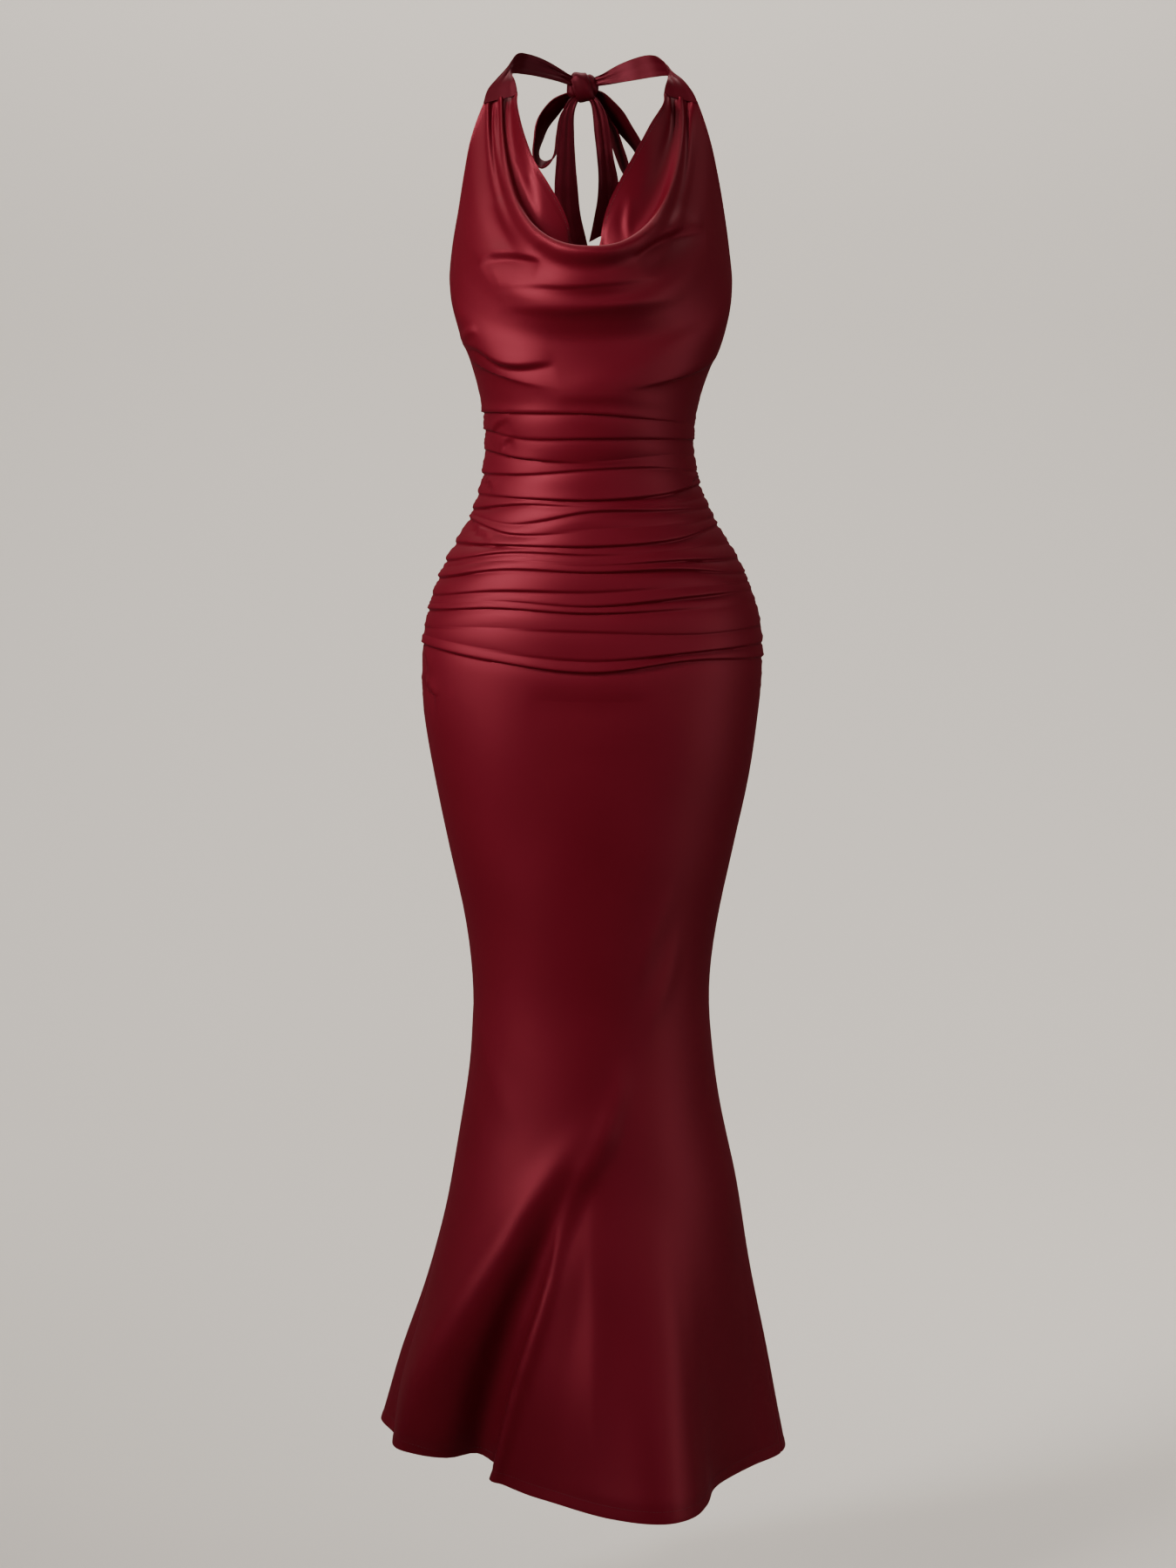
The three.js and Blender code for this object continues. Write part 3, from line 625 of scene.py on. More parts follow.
BACK_FOLDS = (
    Fold(((-100, -352), (-40, -372), (30, -374)), 0.9, 6, Shape.LIP),
    Fold(((108, -296), (84, -322), (46, -344)), 1.2, 6, Shape.LIP),
    Fold(((-112, -300), (-92, -320), (-66, -338)), 1.0, 7),
    Fold(((-128, -512), (-60, -534), (20, -548)), 1.6, 12),
    Fold(((124, -520), (70, -538), (10, -552)), 1.3, 12),
    Fold(((-70, -628), (0, -640), (60, -636)), -1.6, 14),
    Fold(((166, -598), (160, -606), (152, -612)), 1.5, 4, Shape.LIP),
    Fold(((-84, -800), (-66, -846), (-52, -896)), 1.6, 8),
    Fold(((70, -860), (58, -910), (52, -950)), 1.5, 8),
)


@dataclass(frozen=True)
class Gather:
    """One small pleat of the gathered seam under a tie, fanning down the bust.

    seam is its share of the seam from the neck edge, fade how far along the row it runs, and
    start how soon it rises.
    """

    side: int
    seam: float
    lift: float
    width: float
    fade: float
    start: float = 0.12
    power: float = 1.5

    def heights(self, seam: np.ndarray, place: np.ndarray) -> np.ndarray:
        """Height that this pleat adds.

        Args:
            seam: Share of the seam of each fine row.
            place: Place of each column, from -1 to 1.

        Returns:
            Lift, rows by columns.
        """
        away = (1 - np.clip(self.side * place, 0.0, 1.0)) / self.fade
        run = np.exp(-(away**self.power)) * (self.side * place > 0)
        run = run * (1 - np.exp(-away / self.start))
        return self.lift * bell(seam - self.seam, self.width)[:, None] * run[None, :]


GATHERS = (
    Gather(-1, 0.20, -1.2, 0.05, 0.16), Gather(-1, 0.30, 1.4, 0.04, 0.18),
    Gather(-1, 0.40, -1.6, 0.04, 0.14), Gather(-1, 0.48, 1.4, 0.04, 0.26),
    Gather(-1, 0.58, -1.4, 0.05, 0.16), Gather(-1, 0.68, 1.3, 0.05, 0.30),
    Gather(-1, 0.79, -1.2, 0.05, 0.18), Gather(-1, 0.90, 0.8, 0.05, 0.16),
    Gather(1, 0.16, 1.2, 0.04, 0.24), Gather(1, 0.25, -1.5, 0.05, 0.26),
    Gather(1, 0.37, 1.6, 0.04, 0.24), Gather(1, 0.46, -1.6, 0.04, 0.16),
    Gather(1, 0.56, 1.5, 0.05, 0.28), Gather(1, 0.68, -1.4, 0.05, 0.18),
    Gather(1, 0.79, 1.2, 0.05, 0.24), Gather(1, 0.90, -0.7, 0.05, 0.15),
)


def new_object(name: str) -> bpy.types.Object:
    """Names the object that an operator has just added.

    Args:
        name: Name of the object and of its mesh.

    Returns:
        The object.
    """
    obj = bpy.context.view_layer.objects.active
    obj.name = name
    obj.data.name = name
    return obj


def select_only(obj: bpy.types.Object) -> None:
    """Selects one object and makes it the active one."""
    bpy.ops.object.select_all(action="DESELECT")
    obj.select_set(True)
    bpy.context.view_layer.objects.active = obj


def apply_modifier(obj: bpy.types.Object, kind: str, **settings: float | int | bool | str) -> None:
    """Adds a modifier to an object, sets it and applies it.

    Args:
        obj: The object.
        kind: Blender's type of modifier.
        settings: Values of its settings.
    """
    select_only(obj)
    modifier = obj.modifiers.new(kind.title(), kind)
    for key, value in settings.items():
        setattr(modifier, key, value)
    bpy.ops.object.modifier_apply(modifier=modifier.name)


def smooth_shade(obj: bpy.types.Object, angle: float) -> None:
    """Shades an object smooth, with edges sharper than an angle in degrees kept."""
    select_only(obj)
    bpy.ops.object.shade_smooth_by_angle(angle=math.radians(angle))


def cloth_sheet(name: str, grid: np.ndarray, thick: float = CLOTH) -> bpy.types.Object:
    """Lays a grid primitive over points and gives it the thickness of cloth.

    Args:
        name: Name of the piece.
        grid: Outer points in millimetres, rows going down and columns going right.
        thick: Thickness in metres, added on the inner side.

    Returns:
        The finished sheet, with a UV map in metres.
    """
    rows, columns = grid.shape[:2]
    bpy.ops.object.select_all(action="DESELECT")
    bpy.ops.mesh.primitive_grid_add(
        x_subdivisions=columns - 1, y_subdivisions=rows - 1, size=1, calc_uvs=True
    )
    obj = new_object(name)
    points = grid[::-1].reshape(-1, 3) * MM
    obj.data.vertices.foreach_set("co", points.astype(np.float32).ravel())
    width = np.linalg.norm(np.diff(grid, axis=1), axis=2).sum(axis=1).mean() * MM
    length = np.linalg.norm(np.diff(grid, axis=0), axis=2).sum(axis=0).mean() * MM
    layer = obj.data.uv_layers[0]
    layer.name = CUT_MAP
    uv = np.empty(len(layer.data) * 2, dtype=np.float32)
    layer.data.foreach_get("uv", uv)
    uv = (uv.reshape(-1, 2) * (width, length)).astype(np.float32)
    layer.data.foreach_set("uv", uv.ravel())
    obj.data.update()
    apply_modifier(obj, "SOLIDIFY", thickness=thick, offset=-1.0, use_rim=True)
    smooth_shade(obj, SOFT_EDGE)
    return obj


def mottled(name: str, dark: Colour, light: Colour, scale: float,
            detail: float) -> tuple[bpy.types.Material, bpy.types.ShaderNode]:
    """Starts a material whose ground wanders softly between two colours.

    Args:
        name: Name of the material.
        dark: Colour where the pattern is low.
        light: Colour where it is high.
        scale: Fineness of the pattern.
        detail: How broken its edges are.

    Returns:
        The material and the node of the pattern.
    """
    material = bpy.data.materials.new(name)
    material.use_nodes = True
    nodes, links = material.node_tree.nodes, material.node_tree.links
    place = nodes.new("ShaderNodeTexCoord")
    pattern = nodes.new("ShaderNodeTexNoise")
    pattern.inputs["Scale"].default_value = scale
    pattern.inputs["Detail"].default_value = detail
    links.new(place.outputs["Object"], pattern.inputs["Vector"])
    mix = nodes.new("ShaderNodeMix")
    mix.data_type = "RGBA"
    mix.inputs["A"].default_value = (*dark, 1.0)
    mix.inputs["B"].default_value = (*light, 1.0)
    links.new(pattern.outputs["Fac"], mix.inputs["Factor"])
    links.new(mix.outputs["Result"], nodes["Principled BSDF"].inputs["Base Color"])
    return material, pattern


@dataclass(frozen=True)
class SatinFinish:
    """Stretch satin: a deep red ground with a soft, pink and slightly drawn-out gloss."""

    name: str
    colour: Colour
    deep: Colour
    gloss: Colour = (0.80, 0.32, 0.38)
    level: float = 0.34
    metallic: float = 0.34
    smoothest: float = 0.43
    roughest: float = 0.53
    anisotropy: float = 0.30
    sheen: float = 0.04
    sheen_roughness: float = 0.40
    sheen_tint: Colour = (0.7, 0.10, 0.14)
    mottle_scale: float = 9.0
    mottle_detail: float = 3.0
    twill_turn: float = 63.0
    twill_scale: float = 210.0
    twill_wander: float = 0.6
    slub_scale: float = 420.0
    slub_detail: float = 2.0
    weave_strength: float = 0.06
    weave_depth: float = 0.0002

    def build(self) -> bpy.types.Material:
        """Makes the material.

        Returns:
            The material, which reads the UV map that every sheet carries.
        """
        material, mottle = mottled(self.name, self.deep, self.colour, self.mottle_scale,
                                   self.mottle_detail)
        nodes, links = material.node_tree.nodes, material.node_tree.links
        shader = nodes["Principled BSDF"]
        gloss = nodes.new("ShaderNodeMapRange")
        gloss.inputs["To Min"].default_value = self.smoothest
        gloss.inputs["To Max"].default_value = self.roughest
        links.new(mottle.outputs["Fac"], gloss.inputs["Value"])
        links.new(gloss.outputs["Result"], shader.inputs["Roughness"])
        self.weave(nodes, links, shader)
        shader.inputs["Metallic"].default_value = self.metallic
        shader.inputs["Anisotropic"].default_value = self.anisotropy
        shader.inputs["Specular IOR Level"].default_value = self.level
        shader.inputs["Specular Tint"].default_value = (*self.gloss, 1.0)
        shader.inputs["Sheen Weight"].default_value = self.sheen
        shader.inputs["Sheen Roughness"].default_value = self.sheen_roughness
        shader.inputs["Sheen Tint"].default_value = (*self.sheen_tint, 1.0)
        return material

    def weave(self, nodes: bpy.types.Nodes, links: bpy.types.NodeLinks,
              shader: bpy.types.ShaderNode) -> None:
        """Adds the fine twill of the satin's face, and the direction of its gloss.

        Args:
            nodes: The material's nodes.
            links: The material's links.
            shader: Its surface shader.
        """
        uv = nodes.new("ShaderNodeUVMap")
        uv.uv_map = CUT_MAP
        twill = nodes.new("ShaderNodeMapping")
        twill.inputs["Rotation"].default_value = (0.0, 0.0, math.radians(self.twill_turn))
        links.new(uv.outputs["UV"], twill.inputs["Vector"])
        wave = nodes.new("ShaderNodeTexWave")
        wave.inputs["Scale"].default_value = self.twill_scale
        wave.inputs["Distortion"].default_value = self.twill_wander
        links.new(twill.outputs["Vector"], wave.inputs["Vector"])
        slub = nodes.new("ShaderNodeTexNoise")
        slub.inputs["Scale"].default_value = self.slub_scale
        slub.inputs["Detail"].default_value = self.slub_detail
        links.new(uv.outputs["UV"], slub.inputs["Vector"])
        grain = nodes.new("ShaderNodeMath")
        grain.operation = "ADD"
        links.new(wave.outputs["Fac"], grain.inputs[0])
        links.new(slub.outputs["Fac"], grain.inputs[1])
        bump = nodes.new("ShaderNodeBump")
        bump.inputs["Strength"].default_value = self.weave_strength
        bump.inputs["Distance"].default_value = self.weave_depth
        links.new(grain.outputs["Value"], bump.inputs["Height"])
        links.new(bump.outputs["Normal"], shader.inputs["Normal"])
        tangent = nodes.new("ShaderNodeTangent")
        tangent.direction_type = "UV_MAP"
        tangent.uv_map = CUT_MAP
        links.new(tangent.outputs["Tangent"], shader.inputs["Tangent"])


@dataclass(frozen=True)
class PlainFinish:
    """A matt finish with a faint mottle, for the thread and the studio."""

    name: str
    colour: Colour
    roughness: float
    mottle: float
    scale: float
    detail: float = 2.0

    def build(self) -> bpy.types.Material:
        """Makes the material.

        Returns:
            The material.
        """
        dark = tuple(part * (1 - self.mottle) for part in self.colour)
        material, _ = mottled(self.name, dark, self.colour, self.scale, self.detail)
        shader = material.node_tree.nodes["Principled BSDF"]
        shader.inputs["Roughness"].default_value = self.roughness
        return material


SATIN = SatinFinish("satin", (0.110, 0.0032, 0.0096), (0.092, 0.0025, 0.0078))
# Same satin as the gown, made darker: painted shade for the ties, bow and knot, which hang in shadow.
SHADED_TIE_SATIN = SatinFinish("satin_tie", (0.068, 0.0026, 0.0068), (0.054, 0.0020, 0.0053),
                        level=0.28, metallic=0.30, smoothest=0.44, roughest=0.54)
THREAD = PlainFinish("thread", (0.060, 0.002, 0.006), 0.7, 0.2, 900.0)
PAPER = PlainFinish("paper", (0.590, 0.538, 0.478), 0.95, 0.01, 0.6)


def dress(obj: bpy.types.Object, material: bpy.types.Material, node: str = "") -> None:
    """Gives a finished piece its material and tells the frame where it belongs.

    Args:
        obj: The piece.
        material: Its material.
        node: The solid whose place it takes, if any.
    """
    obj.data.materials.append(material)
    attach(obj, "root")
    if node:
        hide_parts(node)
    LOG.info("%s: %d faces", obj.name, len(obj.data.polygons))


@dataclass(frozen=True)
class Cut:
    """The flat cloth of a hanging piece, in metres, and what carries the piece."""

    node: str
    slot: str
    flat: tuple[float, float]
    area: float
    rests_on: tuple[str, ...]

    def settle(self, obj: bpy.types.Object, material: bpy.types.Material) -> None:
        dress(obj, material, self.node)


FRONT_CUT = Cut("front_panel", "satin", (0.63, 1.62), 0.62, ("tie_left", "tie_right"))
BACK_CUT = Cut("back_panel", "satin", (0.68, 1.30), 0.53, ("front_panel",))


@dataclass(frozen=True)
class Stitching:
    """Rows of machine stitches along the turned edges, sewn in thread."""

    length: float = 2.3
    pitch: float = 3.3
    thick: float = 0.34
    wide: float = 0.42
    raised: float = 0.25
    sides: int = 6
    rings: int = 4

    def build(self, name: str, lines: Sequence[Line], material: bpy.types.Material) -> None:
        """Models one stitch and sets its copies along every line, in one mesh.

        Args:
            name: Name of the piece.
            lines: Points of each line in millimetres, and the cloth's normals there.
            material: The thread.
        """
        bpy.ops.object.select_all(action="DESELECT")
        bpy.ops.mesh.primitive_uv_sphere_add(segments=self.sides, ring_count=self.rings, radius=0.5)
        obj = new_object(name)
        unit = np.array([vertex.co for vertex in obj.data.vertices])
        unit = unit * (self.length, self.wide, self.thick)
        faces = [tuple(face.vertices) for face in obj.data.polygons]
        points, copies = [], []
        for line, normals in lines:
            for place, along, up in self.places(line, normals):
                across = np.cross(up, along)
                start = len(points) * len(unit)
                points.append(place + unit @ np.stack([along, across, up]))
                copies += [tuple(index + start for index in face) for face in faces]
        obj.data.clear_geometry()
        obj.data.from_pydata(np.concatenate(points) * MM, [], copies)
        obj.data.update()
        smooth_shade(obj, ROUND_EDGE)
        dress(obj, material)

    def places(self, line: np.ndarray, normals: np.ndarray) -> list[tuple[np.ndarray, ...]]:
        """Places of the stitches on one line.

        Args:
            line: Its points.
            normals: The cloth's normals there.

        Returns:
            For each stitch its middle, its direction and the way up from the cloth.
        """
        run = run_along(line)
        found = []
        for at in np.arange(self.pitch, run[-1] - self.pitch, self.pitch):
            ends = [np.array([np.interp(at + half, run, line[:, k]) for k in range(3)])
                    for half in (-self.length / 2, self.length / 2)]
            up = np.array([np.interp(at, run, normals[:, k]) for k in range(3)])
            along = (ends[1] - ends[0]) / np.linalg.norm(ends[1] - ends[0])
            up -= along * (up @ along)
            up /= np.linalg.norm(up)
            found.append(((ends[0] + ends[1]) / 2 + up * self.thick * self.raised, along, up))
        return found


@dataclass
class Refined:
    """Fine rows of a panel.

    points are rows by columns by 3; number is each row's place among the creases, -1 above
    them; seam is its share of the gathered seam, over 1 below it.
    """

    points: np.ndarray
    number: np.ndarray
    seam: np.ndarray


@dataclass
class Panel:
    """A panel of the gown: coarse rows of the form, finer ones between, and folds on top.

    The columns keep the front under 200,000 triangles. crest_rows are the distances from a
    crease's crest, in millimetres, at which fine rows lie.
    """

    form: GownForm
    name: str
    folds: tuple[Fold, ...]
    columns: int = 136
    crowding: float = 0.25
    swag_steps: int = 5
    apron_steps: int = 8
    belly_steps: int = 6
    skirt_steps: int = 3
    crest_rows: tuple[float, ...] = (0.7, 1.4, 2.2, 3.6, 6.0, -4.5, -2.0, -0.8)
    crest_room: float = 1.5
    closest_rows: float = 0.5
    widest_rows: float = 4.5
    swell: float = 0.045
    swell_blunt: float = 0.8
    widest_puff: float = 22.0
    seam_roll: float = 1.3
    roll_width: float = 1.6
    roll_start: float = 6.0
    ruffle: float = 0.9
    ruffle_reach: float = 7.0
    fold_end: float = 3.5
    arm_end: float = 10.0
    ruffles: tuple[Ruffle, Ruffle] = (Ruffle(0.83, 0.0, 2.1, 0.11), Ruffle(0.77, 1.0, 1.8, 0.13))
    uneven: tuple[Ripple, ...] = (Ripple(0.16, (6.3, 2.3)), Ripple(0.08, (15.0, 1.0)))
    drifts: tuple[Ripple, ...] = (Ripple(0.35, (0.031, 0.043), 1.3), Ripple(0.25, (0.067, -0.021)))

    def places(self) -> np.ndarray:
        """Returns the places across the panel from -1 to 1, closer together at the seams."""
        even = np.linspace(-1.0, 1.0, self.columns + 1)
        return even * (1 + self.crowding) - self.crowding * even**3

    def pleat_steps(self, gap: float) -> list[float]:
        """Shares of the way from one crease to the next at which fine rows lie.

        Args:
            gap: Mean distance between the creases.

        Returns:
            Shares from 0, without 1.
        """
        marks = [0.0]
        marks += [mark if mark > 0 else gap + mark for mark in self.crest_rows
                  if abs(mark) < gap - self.crest_room]
        marks.sort()
        kept = [marks[0]]
        for mark in marks[1:]:
            room = mark - kept[-1]
            if room < self.closest_rows:
                continue
            extra = int(room // self.widest_rows)
            kept += [kept[-1] + room * (k + 1) / (extra + 1) for k in range(extra)]
            kept.append(mark)
        return [mark / gap for mark in kept]

    def refine(self, rows: Sequence[np.ndarray], first_pleat: int,
               seams: Sequence[float]) -> Refined:
        """Fine rows between coarse ones, on smooth curves down each column.

        Args:
            rows: The coarse rows.
            first_pleat: Number of the row that holds the first crease.
            seams: Share of the gathered seam for each of the first rows.

        Returns:
            The fine rows.
        """
        points = np.stack(rows)
        keys = np.concatenate([[0.0], np.cumsum(
            np.linalg.norm(np.diff(points, axis=0), axis=2).mean(axis=1))])
        last_pleat = first_pleat + len(PLEATS) - 1
        at: list[float] = []
        number: list[float] = []
        seam: list[float] = []
        for i, gap in enumerate(np.diff(keys)):
            if first_pleat <= i <= last_pleat:
                steps = self.pleat_steps(gap)
            else:
                count = self.skirt_steps
                if i < len(seams):
                    count = self.swag_steps if seams[i] < 1 else self.apron_steps
                elif i < first_pleat:
                    count = self.belly_steps
                steps = [k / count for k in range(count)]
            here = seams[i] if i < len(seams) else BELOW_SEAM
            after = seams[i + 1] if i + 1 < len(seams) else BELOW_SEAM
            for t in steps:
                at.append(keys[i] + t * gap)
                number.append(i - first_pleat + t if i >= first_pleat else -1.0)
                seam.append(here + t * (after - here))
        at.append(keys[-1])
        number.append(float(len(rows)))
        seam.append(BELOW_SEAM)
        fine = smooth_curve(keys, points, np.array(at))
        return Refined(fine, np.array(number), np.array(seam))

    def depth(self, number: int) -> np.ndarray:
        """Depth of one crease, uneven along its length.

        Args:
            number: Which crease, from the waist down.

        Returns:
            Its depth at each place across.
        """
        place = self.places()
        depth = smooth_curve(STATIONS, PLEATS[number][1], np.sin(place * np.pi / 2))
        return np.maximum(depth, 0.0) * (1 + ripple_sum(self.uneven, place, number))

    def ruching(self, refined: Refined) -> np.ndarray:
        """Heights of the ruching at each fine point.

        Args:
            refined: The panel's fine rows.

        Returns:
            Lift of each point, rows by columns.
        """
        height = refined.points[..., 2]
        lift = np.zeros(height.shape)
        for number in range(len(PLEATS)):
            row = int(np.argmin(np.abs(refined.number - number)))
            lift += self.depth(number)[None, :] * pinched(height - height[row][None, :])
            if number + 1 < len(PLEATS):
                t = np.clip(refined.number - number, 0.0, 1.0)
                after = int(np.argmin(np.abs(refined.number - number - 1)))
                gap = np.clip(height[row] - height[after], 0.0, self.widest_puff)
                lift += self.swell * gap[None, :] * (np.sin(np.pi * t) ** self.swell_blunt)[:, None]
        return lift

    def seam_folds(self, refined: Refined) -> np.ndarray:
        """Heights of the rolled side seams and of the small ruffles that the ruching makes there.

        Args:
            refined: The panel's fine rows.

        Returns:
            Lift of each point, rows by columns.
        """
        z = refined.points[..., 2]
        width = run_along(refined.points, 1)[:, -1:]
        from_left = (self.places()[None, :] + 1) / 2 * width
        sewn = ease((UNDERARM - z) / self.roll_start + 0.5)
        ruched = ease((RUFFLE_TOP - z) / RUFFLE_RISE) * ease((z - RUFFLE_END) / RUFFLE_FALL)
        lift = np.zeros(z.shape)
        for away, ruffle in zip((from_left, width - from_left), self.ruffles, strict=True):
            lift -= self.seam_roll * sewn * bell(away, self.roll_width)
            lift += self.ruffle * ruched * ruffle.at(z) * np.exp(-away / self.ruffle_reach)
        return lift

    def from_side(self, points: np.ndarray) -> np.ndarray:
        """Distance of each point along its row from the nearer side edge."""
        from_left = run_along(points, 1)
        return np.minimum(from_left, from_left[:, -1:] - from_left)

    def folded(self, refined: Refined) -> np.ndarray:
        """Outer points of the panel, with every fold raised along the normals.

        A fold dies away towards a side seam over a few times its height.

        Args:
            refined: The panel's fine rows.

        Returns:
            The points, rows by columns by 3.
        """
        points = refined.points
        x, z = points[..., 0], points[..., 2]
        lift = self.ruching(refined) + self.seam_folds(refined) + ripple_sum(self.drifts, x, z)
        side = self.from_side(points)
        for fold in self.folds:
            inner = refined.seam <= RIDGE
            rows = inner if fold.layer is Layer.INNER else ~inner
            free = ease(side / (self.fold_end * abs(fold.lift))) * rows[:, None]
            lift += fold.heights(x, z) * free
        lift += self.edge_lines(refined)
        return points + grid_normals(points) * lift[..., None]

    def edge_lines(self, refined: Refined) -> np.ndarray:
        """Heights of the turned and stitched edges at the top, the arms and the hem.

        Args:
            refined: The panel's fine rows.

        Returns:
            Lift of each point.
        """
        from_top = run_along(refined.points)
        arm = ((refined.seam >= 1) & (refined.number < 0))[:, None]
        arm = arm * ease((refined.points[:, :1, 2] - UNDERARM) / self.arm_end)
        return (TURNED_EDGE.heights(from_top) + TURNED_HEM.heights(from_top[-1] - from_top)
                + TURNED_EDGE.heights(self.from_side(refined.points)) * arm)

    def hem_line(self, grid: np.ndarray) -> Line:
        """Returns the line of stitches along the hem."""
        points, normals = line_at(grid[::-1], TURNED_HEM.width)
        return points, -normals


def line_at(grid: np.ndarray, distance: float) -> Line:
    """Line at a distance from a grid's first row, measured down each column.

    Args:
        grid: Points, rows by columns by 3.
        distance: Millimetres from the first row.

    Returns:
        Points of the line and the cloth's normals there.
    """
    run = run_along(grid)
    both = np.concatenate([grid, grid_normals(grid)], axis=2)
    line = np.array([[np.interp(distance, run[:, j], both[:, j, k]) for k in range(6)]
                     for j in range(grid.shape[1])])
    return line[:, :3], line[:, 3:]


@dataclass
class FrontPanel(Panel):
    """Front of the gown, one piece of cloth from the draped neck to the hem."""

    gathers: tuple[Gather, ...] = GATHERS
    swags: Table = field(default_factory=lambda: Table.of(SWAGS))
    neck: Table = field(default_factory=lambda: Table.of(NECK_EDGE))
    gather_start: float = 0.6

    def neck_pull(self) -> np.ndarray:
        """How far the neck edge lies sideways of its plain curve.

        Returns:
            The distance at each place across.
        """
        place = self.places()
        row = self.swags.line(0)
        share = np.abs(np.sin(place * np.pi / 2))
        top = row["side"] + SEAM_SLANT
        height = top + (row["middle"] - top) * hang(share, row["round"])
        edge = np.where(place < 0, self.neck.along("height", "left", height),
                        self.neck.along("height", "right", height))
        return np.sign(place) * (edge - SEAM_INNER * share)

    def swag_row(self, row: dict[str, float]) -> np.ndarray:
        """Points of one row of the draped neck.

        Args:
            row: Its line of the table of swags.

        Returns:
            Points from left to right.
        """
        place = self.places()
        angle = place * np.pi / 2
        sine = np.sin(angle)
        share = np.abs(sine)
        end_x = SEAM_INNER + row["seam"] * (SEAM_OUTER - SEAM_INNER)
        if row["side"] != SEAM_TOP:
            side = np.full(place.shape, row["side"])
            end_x = np.where(place < 0, self.form.outline.along("height", "left", side),
                             self.form.outline.along("height", "right", side))
        lower = (SEAM_TOP - row["side"]) / (SEAM_TOP - UNDERARM)
        end_y = SHOULDER_PLANE + lower * (SIDE_PLANE - SHOULDER_PLANE)
        gather = np.maximum(0.0, share - self.gather_start) / (1 - self.gather_start)
        y = end_y + (SIDE_PLANE - row["reach"] - end_y) * np.cos(angle) - row["gather"] * gather
        top = row["side"] + SEAM_SLANT * (1 - row["seam"])
        z = top + (row["middle"] - top) * hang(share, row["round"])
        pull = self.neck_pull() * max(0.0, 1 - row["seam"] / NECK_PULL) ** 2
        return np.stack([end_x * sine + pull, y, z], axis=-1)

    def level_row(self, heights: Sequence[float]) -> np.ndarray:
        """Points of one level row.

        Args:
            heights: Its heights at the five stations.

        Returns:
            Points from left to right.
        """
        place = self.places()
        height = smooth_curve(STATIONS, heights, np.sin(place * np.pi / 2))
        bearing = place * 90
        return self.form.tube_points(bearing, self.form.skirt_height(height, bearing))

    def build(self, material: bpy.types.Material, thread: bpy.types.Material) -> None:
        """Makes the panel and its stitches and sets them in the frame.

        Args:
            material: The satin.
            thread: The stitches' thread.
        """
        swags = [self.swags.line(i) for i in range(len(self.swags.rows))]
        seams = [row["seam"] + max(0.0, (SEAM_TOP - row["side"]) / SEAM_BELOW) for row in swags]
        rows = [self.swag_row(row) for row in swags]
        rows += [self.level_row(heights) for heights, _ in BELLY_ROWS]
        first_pleat = len(rows)
        rows += [self.level_row(heights) for heights, _, _ in PLEATS]
        rows += [self.level_row((height,) * len(STATIONS)) for height in SKIRT_ROWS]
        refined = self.refine(rows, first_pleat, seams)
        grid = self.folded(refined)
        FRONT_CUT.settle(cloth_sheet(self.name, grid), material)
        arms = grid[(refined.seam >= 1) & (grid[:, 0, 2] > UNDERARM)]
        Stitching().build("stitches_front", [
            line_at(grid, TURNED_EDGE.width),
            self.hem_line(grid),
            self.side_line(arms, False),
            self.side_line(arms, True),
        ], thread)

    def side_line(self, rows: np.ndarray, right: bool) -> Line:
        """Line of stitches along an arm edge.

        Args:
            rows: The rows of points that the edge bounds.
            right: Whether it is the right edge.

        Returns:
            Points of the line and the cloth's normals there.
        """
        inward = rows[:, ::-1] if right else rows
        points, normals = line_at(inward.transpose(1, 0, 2), TURNED_EDGE.width)
        return points, normals if right else -normals

    def ruching(self, refined: Refined) -> np.ndarray:
        """Heights of the ruching and of the gathers under the ties.

        Args:
            refined: The panel's fine rows.

        Returns:
            Lift of each point, rows by columns.
        """
        lift = super().ruching(refined)
        for gather in self.gathers:
            lift += gather.heights(refined.seam, self.places())
        return lift


